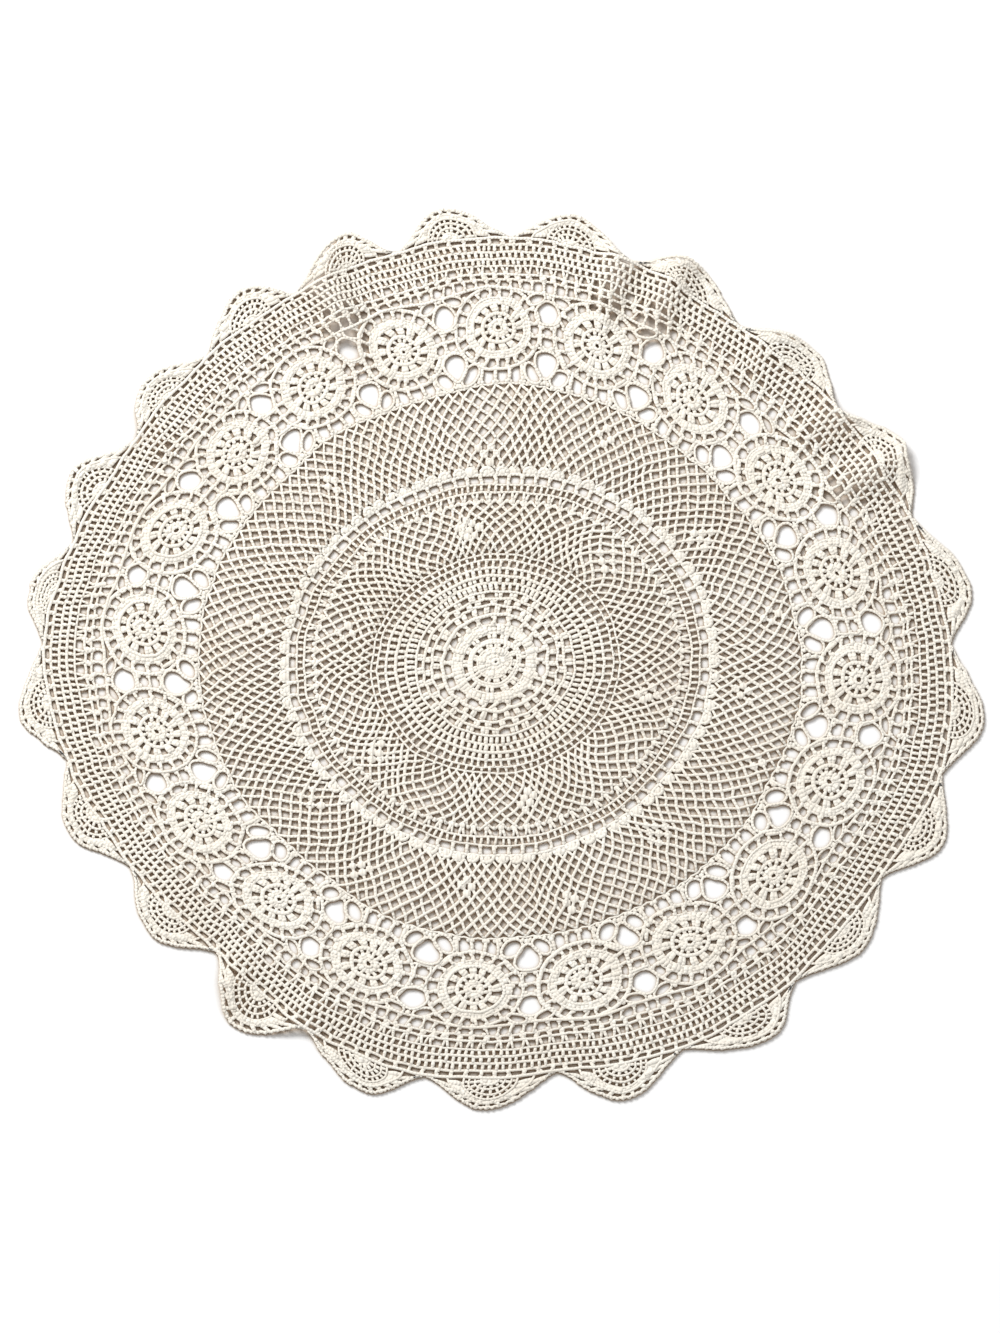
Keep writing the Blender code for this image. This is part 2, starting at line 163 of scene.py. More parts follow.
SCALLOPS = (
    Scallop(2.5, 287.0, 10.0, 304.0),
    Scallop(20.5, 281.0, 30.5, 297.0),
    Scallop(38.5, 277.0, 46.5, 293.0),
    Scallop(56.0, 276.0, 65.5, 300.0),
    Scallop(72.5, 285.0, 80.5, 309.0),
    Scallop(88.0, 290.0, 96.0, 311.0),
    Scallop(102.5, 286.0, 108.5, 307.0),
    Scallop(116.5, 280.0, 122.5, 300.0),
    Scallop(131.0, 276.0, 139.0, 292.0),
    Scallop(146.5, 273.0, 154.5, 296.0),
    Scallop(163.0, 278.0, 170.5, 297.0),
    Scallop(177.5, 284.0, 186.5, 300.0),
    Scallop(194.0, 277.0, 203.0, 290.0),
    Scallop(211.0, 267.0, 220.0, 283.0),
    Scallop(228.0, 262.0, 236.5, 294.0),
    Scallop(244.5, 274.0, 254.5, 300.0),
    Scallop(261.0, 282.0, 268.5, 300.0),
    Scallop(278.0, 279.0, 286.0, 304.0),
    Scallop(294.5, 285.0, 304.5, 306.0),
    Scallop(311.5, 285.0, 320.0, 300.0),
    Scallop(329.0, 283.0, 336.5, 306.0),
    Scallop(345.0, 291.0, 352.5, 310.0),
)

WAVES = (
    Wave(28.5, 4.5, 222.0, 6.0),
    Wave(38.0, 4.5, 228.0, 4.0),
    Wave(51.0, 4.5, 235.0, 2.5),
    Wave(66.5, 4.0, 222.0, 5.5),
    Wave(74.0, 3.6, 218.0, 6.0),
    Wave(112.5, 4.4, 205.0, 8.0),
    Wave(145.0, 4.5, 235.0, 3.0),
    Wave(232.0, 4.5, 235.0, 3.5),
    Wave(243.5, 4.5, 235.0, 3.0),
)

INNER_CLUSTERS = tuple(Cluster(angle, 95.5) for angle in (44.0, 100.0, 168.0, 219.0, 282.0, 347.0))
OUTER_CLUSTERS = (
    Cluster(10.2, 174.0),
    Cluster(32.9, 151.0),
    Cluster(63.9, 169.0),
    Cluster(90.9, 146.0),
    Cluster(131.2, 163.0),
    Cluster(171.8, 152.0),
    Cluster(194.7, 169.0),
    Cluster(218.6, 149.0),
    Cluster(238.8, 166.0),
    Cluster(263.6, 152.0),
    Cluster(287.1, 168.0),
    Cluster(311.6, 151.0),
    Cluster(338.0, 171.0),
    Cluster(352.6, 153.0),
)


# ---- from the chart to the real doily

def polar(angle: Number, radius: Number) -> tuple[Number, Number]:
    """Return the X and Y of places given by angle and radius."""
    turn = np.radians(angle)
    return radius * np.cos(turn), radius * np.sin(turn)


def smooth_step(value: Array, low: float, high: float) -> Array:
    """Rise smoothly from 0 at low to 1 at high."""
    share = np.clip((value - low) / (high - low), 0.0, 1.0)
    return share * share * (3 - 2 * share)


class ShiftRing:
    """How far the places of one charted ring are turned and moved outwards in the real doily."""

    def __init__(self, places: Sequence[tuple[float, float]], start: float, radius: float):
        """Compare the real places with the charted ones.

        Args:
            places: the real angle and radius of each place.
            start: the charted angle of the first place.
            radius: the charted radius of the ring.
        """
        self.radius = radius
        self.start = start
        self.step = FULL_TURN / len(places)
        angles, radii = np.array(places).T
        charted = start + self.step * np.arange(len(places))
        self.shifts = np.stack([angles - charted, radii - radius])

    @classmethod
    def even(cls, radii: Sequence[float], radius: float) -> ShiftRing:
        """Make a ring whose places stand evenly from the right side on and only move outwards."""
        step = FULL_TURN / len(radii)
        return cls([(index * step, real) for index, real in enumerate(radii)], 0.0, radius)

    def read(self, angle: Array) -> Array:
        """Read the shifts on smooth closed curves through the ring's places.

        Args:
            angle: charted angles.

        Returns:
            A row of turns and a row of moves outwards.
        """
        place = (angle - self.start) / self.step
        low = np.floor(place).astype(int)
        share = place - low
        before, here, after, beyond = (self.shifts[:, (low + offset) % self.shifts.shape[1]]
                                       for offset in (-1, 0, 1, 2))
        bend = 2 * before - 5 * here + 4 * after - beyond
        twist = 3 * (here - after) + beyond - before
        return here + 0.5 * share * (after - before + share * (bend + share * twist))


class Layout:
    """Carries charted points to their places in the real doily."""

    RIPPLES = 16                # small handmade irregularities, as crossing ripples
    RIPPLE_LENGTHS = (8.0, 60.0)
    RIPPLE_SIZES = (0.10, 0.42)
    RIPPLE_RISE = 0.018         # height that goes with each ripple, at most

    def __init__(self, seed: int = 7):
        """Read the tables and draw the fine irregularities.

        Args:
            seed: seed of the fine irregularities.
        """
        self.rings = (
            *(ShiftRing.even(ring.real_radii, ring.radius) for ring in INNER_RINGS),
            ShiftRing(MEDALLIONS, MEDALLION_START, RING_RADIUS),
            ShiftRing([(row.valley_angle, row.valley_radius) for row in SCALLOPS],
                      SCALLOP_START - SCALLOP_STEP / 2, VALLEY_RADIUS),
            ShiftRing([(row.tip_angle, row.tip_radius) for row in SCALLOPS],
                      SCALLOP_START, TIP_RADIUS),
        )
        self.border = ShiftRing.even(BORDER_REACH, 0.0)
        draw = np.random.default_rng(seed)
        lengths = np.geomspace(*self.RIPPLE_LENGTHS, self.RIPPLES)
        sizes = np.geomspace(*self.RIPPLE_SIZES, self.RIPPLES)
        heading, pull, self.phases = (draw.uniform(0, 2 * math.pi, self.RIPPLES)
                                      for _ in range(3))
        self.numbers = np.stack([np.cos(heading), np.sin(heading)]) * 2 * math.pi / lengths
        self.pulls = np.stack([np.cos(pull), np.sin(pull)]) * sizes

    def settle(self, angle: Array, radius: Array) -> tuple[Array, Array]:
        """Shift charted places as the two rings beside each one say.

        Args:
            angle: charted angles.
            radius: charted radii.

        Returns:
            The real angles and radii.
        """
        shift = inner = np.zeros((2, len(radius)))
        low = 0.0
        for ring in self.rings:
            outer = ring.read(angle)
            share = np.clip((radius - low) / (ring.radius - low), 0.0, 1.0)
            shift = np.where(radius > low, inner + (outer - inner) * share, shift)
            inner, low = outer, ring.radius
        border = np.interp(radius, BORDER_ROWS, BORDER_SHARES) * self.border.read(angle)[1]
        return angle + shift[0], radius + (shift[1] + border)

    @staticmethod
    def wave_height(angle: Array, radius: Array) -> Array:
        """Add up the waves.

        Args:
            angle: real angles.
            radius: real radii.

        Returns:
            How far the waves lift the cloth there.
        """
        height = np.zeros_like(radius)
        for wave in WAVES:
            offset = (angle - wave.angle + HALF_TURN) % FULL_TURN - HALF_TURN
            share = np.clip(np.abs(offset) / wave.half_width, 0.0, 1.0)
            crest = np.cos(math.pi / 2 * share) ** 2
            height += wave.height * crest * smooth_step(radius, wave.start, WAVE_RIM)
        return height

    def place(self, points: Array) -> Array:
        """Carry charted points to the real doily.

        Args:
            points: rows of X, Y and height over the surface, in the chart.

        Returns:
            The same rows in the real doily.
        """
        angle, radius = self.settle(np.degrees(np.arctan2(points[:, 1], points[:, 0])),
                                    np.hypot(points[:, 0], points[:, 1]))
        x, y = polar(angle, radius)
        swing = np.sin(points[:, :2] @ self.numbers + self.phases)
        x = x + swing @ self.pulls[0]
        y = y + swing @ self.pulls[1]
        rise = np.abs(swing).sum(axis=1) * self.RIPPLE_RISE
        return np.stack([x, y, points[:, 2] + rise + self.wave_height(angle, radius)], axis=1)


# ---- places in the chart

class Oval(NamedTuple):
    """An oval hole beside a gap's radius; its length leans from straight across the radius."""

    across: float
    along: float
    half_length: float
    half_width: float
    lean: float


OVAL_TURNS = np.radians(np.arange(14) * FULL_TURN / 14)
EGG_TURNS = np.radians(np.arange(16) * 22.5)


def across_radius(angle: float, across: Number, along: Number) -> Array:
    """Return charted X and Y of places given across and along a radius.

    Args:
        angle: the radius's angle.
        across: distances to the left of the radius, looking outwards.
        along: distances along it.

    Returns:
        Rows of X and Y.
    """
    turn = math.radians(angle)
    x = along * math.cos(turn) - across * math.sin(turn)
    y = along * math.sin(turn) + across * math.cos(turn)
    return np.column_stack([x, y])


def oval_edge(angle: float, side: int, oval: Oval) -> Array:
    """Return charted places on the edge of an oval hole.

    Args:
        angle: the gap's angle.
        side: 1 or -1, the side of the gap's radius that it lies on.
        oval: the hole.

    Returns:
        Rows of charted X and Y.
    """
    lean = math.radians(oval.lean)
    length, width = oval.half_length * np.cos(OVAL_TURNS), oval.half_width * np.sin(OVAL_TURNS)
    across = oval.across + length * math.cos(lean) + width * math.sin(lean)
    along = oval.along + length * math.sin(lean) - width * math.cos(lean)
    return across_radius(angle, side * across, along)


def with_middle(first: Number, last: Number) -> Array:
    """Return two values or places with their middle between them."""
    return np.array([first, (first + last) / 2, last])


@dataclass(frozen=True)
class Round:
    """Places of a piece of work that goes round the doily's middle."""

    def spot(self, angle: Number, radius: Number) -> Array:
        """Return rows of charted X and Y of places given by angle and radius."""
        return np.column_stack(polar(np.atleast_1d(angle), np.atleast_1d(radius)))


@dataclass(frozen=True)
class MedallionRound(Round):
    """Places around a medallion's own middle, drawn wide along the ring and a little askew."""

    middle: float
    wide: float = 0.15
    outward: float = 0.045
    skew: float = 0.0

    def spot(self, angle: Number, radius: Number) -> Array:
        """Return charted places given round the medallion.

        Args:
            angle: angles round its middle, from 0 outwards.
            radius: distances from its middle, before it is drawn wide.

        Returns:
            Rows of charted X and Y.
        """
        turn = np.radians(np.atleast_1d(angle))
        reach = np.atleast_1d(radius) * (1 + self.wide * np.sin(turn) ** 2
                                         + self.outward * np.cos(turn)
                                         + self.skew * np.sin(2 * turn))
        return across_radius(self.middle, reach * np.sin(turn), RING_RADIUS + reach * np.cos(turn))


# ---- stitches

class Stitch(Enum):
    """Kinds of thread work, each with its width and depth in millimetres."""

    CHAIN = (2.0, 1.05)
    FINE_CHAIN = (1.5, 0.95)
    THICK_CHAIN = (2.6, 1.2)
    TREBLE = (2.3, 1.0)

    @property
    def width(self) -> float:
        """Width of the cord."""
        return self.value[0]

    @property
    def depth(self) -> float:
        """Depth of the cord."""
        return self.value[1]


class Cord(NamedTuple):
    """A tube of thread through charted points."""

    points: Array
    width: float
    depth: float
    closed: bool


class Bead(NamedTuple):
    """A knot of thread at a charted point."""

    point: tuple[float, float, float]
    width: float
    depth: float


class Knot(NamedTuple):
    """A knot beside a radius, at distances across and along it."""

    across: float
    along: float
    width: float


class JoinLoop(NamedTuple):
    """A join loop's distance from a medallion's radius, and the radii of its foot and head."""

    across: float
    foot: float
    head: float


class Block(NamedTuple):
    """A part of a mesh: its corners, its faces with their UVs, and the tone of each corner."""

    corners: Array
    quads: Array
    triangles: Array
    quad_uv: Array
    triangle_uv: Array
    tone: Array


def fan(pole: Array, first: Array, second: Array) -> Array:
    """Return triangles from poles to neighbouring corners of a rim."""
    return np.stack(np.broadcast_arrays(pole, first, second), axis=-1).reshape(-1, 3)


def pairs(along: Array, around: Array) -> Array:
    """Return UVs of values along a cord and around it."""
    return np.stack(np.broadcast_arrays(along, around), axis=-1)


@dataclass
class ThreadWork:
    """A piece of the cloth: its stitches in the chart become one mesh of closed tubes and beads."""

    layout: Layout
    cotton: bpy.types.Material
    name: str = ""
    node: str = "ground"        # the solid that it stands for
    seed: int = 0
    round: Round = Round()
    cords: list[Cord] = field(default_factory=list)
    beads: list[Bead] = field(default_factory=list)

    # a cord's section, as shares of half its width and half its depth
    SECTION = ((1.0, -0.1), (0.86, 1.0), (-0.86, 1.0), (-1.0, -0.1), (-0.6, -1.0), (0.6, -1.0))
    PRESSED = 1.12              # how much wider a cord lies once the doily is pressed
    BASE = 1.1                  # height of a cord's middle over the surface
    TIP_TAPER = 0.78            # an open cord's last section, as a share of its width
    TIP_REACH = 0.30            # how far its closed end stands out, as a share of its width
    BEAD_FOOT = -0.2            # height of a bead's widest ring, as a share of half its depth
    BEAD_TOP = 0.80             # its upper ring's share of its width
    BEAD_RISE = 0.92            # height of the upper ring, as a share of half its depth
    # these UV values also set the painted side shade on each knot: brown on its lower ring and
    # underside, cream on its upper ring and top
    BEAD_AROUND = (0.0, 0.2, -0.25, 0.25)   # UV around a cord of its rings, bottom and top
    WIDTH_SPREAD = 0.07
    HEIGHT_SPREAD = 0.12
    RUN_SPREAD = 10.0           # where along the chain's pattern a cord starts, at most

    def __post_init__(self) -> None:
        """Start the work's own random draws."""
        self.draw = np.random.default_rng(self.seed)

    # single stitches

    def cord(self, points: Array, kind: Stitch = Stitch.CHAIN, width: float | None = None,
             closed: bool = False) -> None:
        """Lay a cord through charted points.

        Args:
            points: rows of X and Y.
            kind: the thread work.
            width: another width than the stitch's own.
            closed: whether the cord joins its own start.
        """
        wide = (width or kind.width) * (1 + self.draw.normal(0, self.WIDTH_SPREAD)) * self.PRESSED
        deep = kind.depth * (1 + self.draw.normal(0, self.WIDTH_SPREAD))
        height = max(self.BASE + self.draw.normal(0, self.HEIGHT_SPREAD), deep / 2)
        rows = np.column_stack([points, np.full(len(points), height)])
        self.cords.append(Cord(rows, wide, deep, closed))

    def post(self, foot_angle: float, foot: float, head_angle: float, head: float,
             width: float) -> None:
        """Work one treble post between two places of the round.

        Args:
            foot_angle: angle of its foot.
            foot: radius of its foot.
            head_angle: angle of its head.
            head: radius of its head.
            width: its width.
        """
        places = self.round.spot(with_middle(foot_angle, head_angle), with_middle(foot, head))
        self.cord(places, Stitch.TREBLE, width)

    def bead(self, point: Array, width: float, depth: float = 1.15) -> None:
        """Put a knot of thread at a charted point."""
        height = max(self.BASE - self.draw.uniform(0, self.HEIGHT_SPREAD), depth / 2)
        self.beads.append(Bead((float(point[0]), float(point[1]), height), width, depth))

    def knots(self, angle: float, *knots: Knot, side: int = 1) -> None:
        """Put knots beside a radius.

        Args:
            angle: the radius's angle.
            knots: the knots.
            side: -1 puts them on the other side of the radius.
        """
        for knot in knots:
            self.bead(across_radius(angle, knot.across * side, knot.along)[0], knot.width)

    # rounds of stitches

    def ring(self, radius: float, count: int, kind: Stitch = Stitch.CHAIN,
             width: float | None = None, wobble: float = 0.1) -> None:
        """Lay a closed ring of chain.

        Args:
            radius: radius of the ring.
            count: points of the ring.
            kind: the thread work.
            width: another width than the stitch's own.
            wobble: how far each point may stray.
        """
        angles = np.arange(count) * FULL_TURN / count
        radii = radius + self.draw.normal(0, 1, count) * wobble
        self.cord(self.round.spot(angles, radii), kind, width, closed=True)

    def posts(self, inner: float, outer: float, count: int, width: float, phase: float = 0.0,
              stray: float = 0.06) -> None:
        """Work a ring of treble posts.

        Args:
            inner: radius of their feet.
            outer: radius of their heads.
            count: number of posts.
            width: width of a post.
            phase: turn of the first post, in steps.
            stray: spread of the feet's and heads' places, in steps.
        """
        step = FULL_TURN / count
        for index in range(count):
            foot, head = (index + phase + self.draw.normal(0, stray, 2)) * step
            self.post(foot, inner, head, outer, width)

    def clusters(self, inner: float, outer: float, count: int, width: float,
                 feet: Sequence[float], heads: Sequence[float], phase: float = 0.0,
                 stray: float = 0.035) -> None:
        """Work a ring of clusters, each a small fan of posts.

        Args:
            inner: radius of their feet.
            outer: radius of their heads.
            count: number of clusters.
            width: width of a post.
            feet: distances of a cluster's feet from its middle.
            heads: distances of its heads from its middle.
            phase: turn of the first cluster, in steps.
            stray: spread of the clusters' places, in steps.
        """
        step = FULL_TURN / count
        for index in range(count):
            middle = (index + phase + self.draw.normal(0, stray)) * step
            for foot, head in zip(feet, heads):
                self.post(middle + math.degrees(foot / inner), inner,
                          middle + math.degrees(head / outer), outer, width)

    def bead_ring(self, radius: float, count: int, width: float, phase: float = 0.0) -> None:
        """Put a ring of knots.

        Args:
            radius: radius of the ring.
            count: number of knots.
            width: width of a knot.
            phase: turn of the first knot, in steps.
        """
        angles = (np.arange(count) + phase) * FULL_TURN / count
        for point in self.round.spot(angles, np.full(count, radius)):
            self.bead(point, width)

    # the mesh

    def _tube_block(self, cords: list[Cord], closed: bool) -> Block:
        """Make the tubes of cords that have the same number of points.

        Args:
            cords: the cords.
            closed: whether they join their own start.

        Returns:
            Their part of the mesh.
        """
        many, count, sides = len(cords), len(cords[0].points), len(self.SECTION)
        line = self.layout.place(np.concatenate([cord.points for cord in cords]))
        line = line.reshape(many, count, 3)
        if closed:
            ahead = np.roll(line, -1, axis=1) - np.roll(line, 1, axis=1)
            strides = np.linalg.norm(np.roll(line, -1, axis=1) - line, axis=2)
        else:
            ahead = np.gradient(line, axis=1)
            strides = np.linalg.norm(np.diff(line, axis=1), axis=2)
        ahead /= np.linalg.norm(ahead, axis=2, keepdims=True)
        across = np.cross(ahead, (0.0, 0.0, 1.0))
        across /= np.linalg.norm(across, axis=2, keepdims=True)
        above = np.cross(across, ahead)
        run = np.concatenate([np.zeros((many, 1)), np.cumsum(strides, axis=1)], axis=1)
        run += self.draw.uniform(0, self.RUN_SPREAD, (many, 1))

        taper = np.ones(count)
        if not closed:
            taper[[0, -1]] = self.TIP_TAPER
        wide = np.array([cord.width for cord in cords])[:, None, None, None] / 2
        deep = np.array([cord.depth for cord in cords])[:, None, None, None] / 2
        section = np.array(self.SECTION)
        rim = (across[:, :, None] * section[:, :1] * wide
               + above[:, :, None] * section[:, 1:] * deep)
        corners = (line[:, :, None] + rim * taper[:, None, None]).reshape(-1, 3)

        spans = count if closed else count - 1
        first = np.arange(many)[:, None, None] * count * sides
        here = first + np.arange(spans)[:, None] * sides
        there = first + (np.arange(spans)[:, None] + 1) % count * sides
        side = np.arange(sides)
        after = (side + 1) % sides
        quads = np.stack([here + side, there + side, there + after, here + after], axis=-1)
        back, front = run[:, :spans, None], run[:, 1:spans + 1, None]
        low = side / sides
        high = low + 1 / sides
        quad_uv = np.stack([pairs(back, low), pairs(front, low), pairs(front, high),
                            pairs(back, high)], axis=-2)
        tone = np.repeat(self.draw.uniform(0, 1, many), count * sides)
        triangles, triangle_uv = np.zeros((0, 3), int), np.zeros((0, 3, 2))
        if not closed:
            reach = wide[:, 0, 0] * 2 * self.TIP_REACH
            start_tip = len(corners) + np.arange(many)[:, None]
            corners = np.concatenate([corners, line[:, 0] - ahead[:, 0] * reach,
                                      line[:, -1] + ahead[:, -1] * reach])
            start = first[:, 0]
            end = start + (count - 1) * sides
            triangles = np.concatenate([fan(start_tip, start + side, start + after),
                                        fan(start_tip + many, end + after, end + side)])
            cap_uv = pairs(np.concatenate([run[:, :1], run[:, -1:]]), low)
            triangle_uv = np.repeat(cap_uv.reshape(-1, 1, 2), 3, axis=1)
            tone = np.concatenate([tone, np.tile(tone[::count * sides], 2)])
        return Block(corners, quads.reshape(-1, 4), triangles, quad_uv.reshape(-1, 4, 2),
                     triangle_uv, tone)

    def _bead_block(self) -> Block:
        """Make all the knots.

        Returns:
            Their part of the mesh.
        """
        many, sides = len(self.beads), len(self.SECTION)
        middle = self.layout.place(np.array([bead.point for bead in self.beads]))
        spread = 1 + self.draw.normal(0, self.WIDTH_SPREAD, (many, 2))
        wide = np.array([bead.width for bead in self.beads]) / 2 * spread[:, 0]
        deep = np.array([bead.depth for bead in self.beads]) / 2 * spread[:, 1]
        turn = (np.arange(sides) + 0.5) * 2 * math.pi / sides
        rim = np.stack([np.cos(turn), np.sin(turn)], -1)
        lower = np.column_stack([rim, np.full(sides, self.BEAD_FOOT)])
        upper = np.column_stack([rim * self.BEAD_TOP, np.full(sides, self.BEAD_RISE)])
        shape = np.concatenate([lower, upper, [[0, 0, -1.0], [0, 0, 1.0]]])
        size = np.stack([wide, wide, deep], -1)[:, None]
        corners = (middle[:, None] + shape * size).reshape(-1, 3)

        first = np.arange(many)[:, None] * len(shape)
        side = np.arange(sides)
        after = (side + 1) % sides
        second = first + sides
        quads = np.stack([first + side, first + after, second + after, second + side],
                         -1).reshape(-1, 4)
        bottom = fan(second + sides, first + after, first + side)
        top = fan(second + sides + 1, second + side, second + after)
        triangles = np.concatenate([bottom, top])
        around = np.repeat(self.BEAD_AROUND, (sides, sides, 1, 1))
        flat = np.column_stack([corners[:, 0], np.tile(around, many)])
        tone = np.repeat(self.draw.uniform(0, 1, many), len(shape))
        return Block(corners, quads, triangles, flat[quads], flat[triangles], tone)

    def _mesh(self) -> bpy.types.Mesh:
        """Make one mesh of all the stitches.

        Returns:
            The mesh.
        """
        groups: dict[tuple[int, bool], list[Cord]] = {}
        for cord in self.cords:
            groups.setdefault((len(cord.points), cord.closed), []).append(cord)
        blocks = [self._tube_block(cords, closed) for (_, closed), cords in groups.items()]
        if self.beads:
            blocks.append(self._bead_block())
        starts = np.cumsum([0] + [len(block.corners) for block in blocks[:-1]])
        corners = np.concatenate([block.corners for block in blocks]) * MM
        quads = np.concatenate([block.quads + start for block, start in zip(blocks, starts)])
        triangles = np.concatenate([block.triangles + start
                                    for block, start in zip(blocks, starts)])
        uv = np.concatenate([block.quad_uv.reshape(-1, 2) for block in blocks]
                            + [block.triangle_uv.reshape(-1, 2) for block in blocks])
        tone = np.concatenate([block.tone for block in blocks])
        sizes = np.repeat([4, 3], (len(quads), len(triangles)))

        mesh = bpy.data.meshes.new(self.name)
        mesh.vertices.add(len(corners))
        mesh.vertices.foreach_set("co", corners.astype(np.float32).ravel())
        mesh.loops.add(quads.size + triangles.size)
        mesh.loops.foreach_set("vertex_index", np.concatenate([quads.ravel(), triangles.ravel()]))
        mesh.polygons.add(len(sizes))
        mesh.polygons.foreach_set("loop_start", np.concatenate([[0], np.cumsum(sizes)[:-1]]))
        mesh.polygons.foreach_set("use_smooth", np.ones(len(sizes), bool))
        mesh.update(calc_edges=True)
        mesh.uv_layers.new(name="thread").data.foreach_set("uv", uv.astype(np.float32).ravel())
        mesh.attributes.new("tone", "FLOAT", "POINT").data.foreach_set(
            "value", tone.astype(np.float32))
        mesh.validate()
        LOG.info("%s: %d triangles", self.name, 2 * len(quads) + len(triangles))
        return mesh

    def stitch(self) -> None:
        """Work the piece's stitches."""
        raise NotImplementedError

    def make(self) -> bpy.types.Object:
        """Work the piece, dress it and say what it rides on and stands for.

        Returns:
            The piece, at the origin, with its place in its mesh.
        """
        self.stitch()
        piece = bpy.data.objects.new(self.name, self._mesh())
        bpy.context.scene.collection.objects.link(piece)
        piece.data.materials.append(self.cotton)
        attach(piece, "root")
        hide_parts(self.node)
        return piece


# ---- finishes

class Recipe:
    """A Principled material and the nodes that it is mixed from."""

    def __init__(self, name: str):
        """Start the material.

        Args:
            name: its name.
        """
        self.material = bpy.data.materials.new(name)
        self.material.use_nodes = True
        self.nodes = self.material.node_tree.nodes
        self.shader = self.nodes["Principled BSDF"]

    def fill(self, node: bpy.types.Node, inputs: dict[str | int, Socket | float | Colour]) -> None:
        """Set a node's inputs, or link them where another node's output is given.

        Args:
            node: the node.
            inputs: the value or output that goes to each input.
        """
        for name, value in inputs.items():
            if isinstance(value, Socket):
                self.material.node_tree.links.new(value, node.inputs[name])
            else:
                node.inputs[name].default_value = value

    def add(self, kind: str, **inputs: Socket | float) -> bpy.types.Node:
        """Add a node.

        Args:
            kind: its kind.
            inputs: the value or output that goes to each of its inputs.

        Returns:
            The node.
        """
        node = self.nodes.new(f"ShaderNode{kind}")
        self.fill(node, inputs)
        return node

    def reckon(self, operation: str, *values: Socket | float) -> Socket:
        """Add a Math node.

        Args:
            operation: what it does.
            values: its inputs, in order.

        Returns:
            Its result.
        """
        node = self.add("Math")
        node.operation = operation
        self.fill(node, dict(enumerate(values)))
        return node.outputs[0]

    def ramp(self, share: Socket, *stops: tuple[float, Colour]) -> Socket:
        """Add a colour ramp.

        Args:
            share: the socket that it reads.
            stops: the place and colour of each stop, in order.

        Returns:
            Its colour.
        """
        node = self.add("ValToRGB", Fac=share)
        elements = node.color_ramp.elements
        elements.remove(elements[1])
        elements[0].position, elements[0].color = stops[0]
        for place, colour in stops[1:]:
            elements.new(place).color = colour
        return node.outputs["Color"]


@dataclass(frozen=True)
class CottonFinish:
    """Matt cream crochet cotton, with its chain stitch and ply in the bump, and painted brown shade
    on each cord's sides and underside.
    """

    light: Colour = (0.708, 0.678, 0.613, 1.0)
    warm: Colour = (0.65, 0.60, 0.52, 1.0)
    # painted shade: the brown given to a cord's sides and underside, where shade would fall
    painted_side_shade: Colour = (0.42, 0.30, 0.20, 1.0)
    light_end: float = 0.35         # where the light cream starts to turn warm
    thread_contrast: float = 0.35   # weight of a thread's own tone beside the soft clouds
    cloud_scale: float = 14.0
    # the painted side shade gives way to the cream top at these shares of a turn
    top_start: float = 0.15         # where a cord's darker side ends, as a share of a turn
    roughness: float = 0.88
    sheen: float = 0.25
    sheen_roughness: float = 0.5
    specular: float = 0.25
    chain_pitch_mm: float = 2.3
    chain_slant: float = 5.0
    chain_strength: float = 0.45
    chain_depth: float = 0.0003
    fuzz_scale: float = 2600.0
    fuzz_strength: float = 0.35
    fuzz_depth: float = 0.0001

    def make(self) -> bpy.types.Material:
        """Make the material.

        Returns:
            The material.
        """
        recipe = Recipe("cream_cotton_thread")
        place = recipe.add("TexCoord").outputs["Object"]
        thread = recipe.add("UVMap")
        thread.uv_map = "thread"
        split = recipe.add("SeparateXYZ", Vector=thread.outputs["UV"])
        around = split.outputs["Y"]

        cloud = recipe.add("TexNoise", Vector=place, Scale=self.cloud_scale, Detail=3.0)
        tone = recipe.add("Attribute")
        tone.attribute_name = "tone"
        warmth = recipe.reckon("MULTIPLY_ADD", tone.outputs["Fac"], self.thread_contrast,
                               cloud.outputs["Fac"])
        cream = recipe.ramp(warmth, (self.light_end, self.light), (1.0, self.warm))
        # painted shade: each cord turns brown on its sides and underside by its UV around it, and
        # its top stays cream
        top, below = (0.0, 0.0, 0.0, 1.0), (1.0, 1.0, 1.0, 1.0)
        shade = recipe.ramp(around, (0.0, below), (self.top_start, top),
                            (0.5 - self.top_start, top), (0.5, below))
        mix = recipe.add("Mix")
        mix.data_type = "RGBA"
        recipe.fill(mix, {"Factor": shade, "A": cream, "B": self.painted_side_shade})

        chain = recipe.add("Bump", Strength=self.chain_strength, Distance=self.chain_depth,
                           Height=self._chain(recipe, split.outputs["X"], around))
        fuzz = recipe.add("TexNoise", Vector=place, Scale=self.fuzz_scale, Detail=2.0)
        surface = recipe.add("Bump", Strength=self.fuzz_strength, Distance=self.fuzz_depth,
                             Height=fuzz.outputs["Fac"], Normal=chain.outputs["Normal"])
        recipe.fill(recipe.shader, {
            "Base Color": mix.outputs["Result"], "Normal": surface.outputs["Normal"],
            "Roughness": self.roughness, "Sheen Weight": self.sheen,
            "Sheen Roughness": self.sheen_roughness, "Specular IOR Level": self.specular})
        return recipe.material

    def _chain(self, recipe: Recipe, along: Socket, around: Socket) -> Socket:
        """Make the height of the slanting strands of a chain.

        Args:
            recipe: the material's recipe.
            along: length along the cord, in millimetres.
            around: share of a turn around it.

        Returns:
            The height.
        """
        fold = recipe.reckon("PINGPONG", around, 0.25)
        slanted = recipe.reckon("ADD", along, recipe.reckon("MULTIPLY", fold, self.chain_slant))
        phase = recipe.reckon("MULTIPLY", slanted, 2 * math.pi / self.chain_pitch_mm)
        return recipe.reckon("SINE", phase)


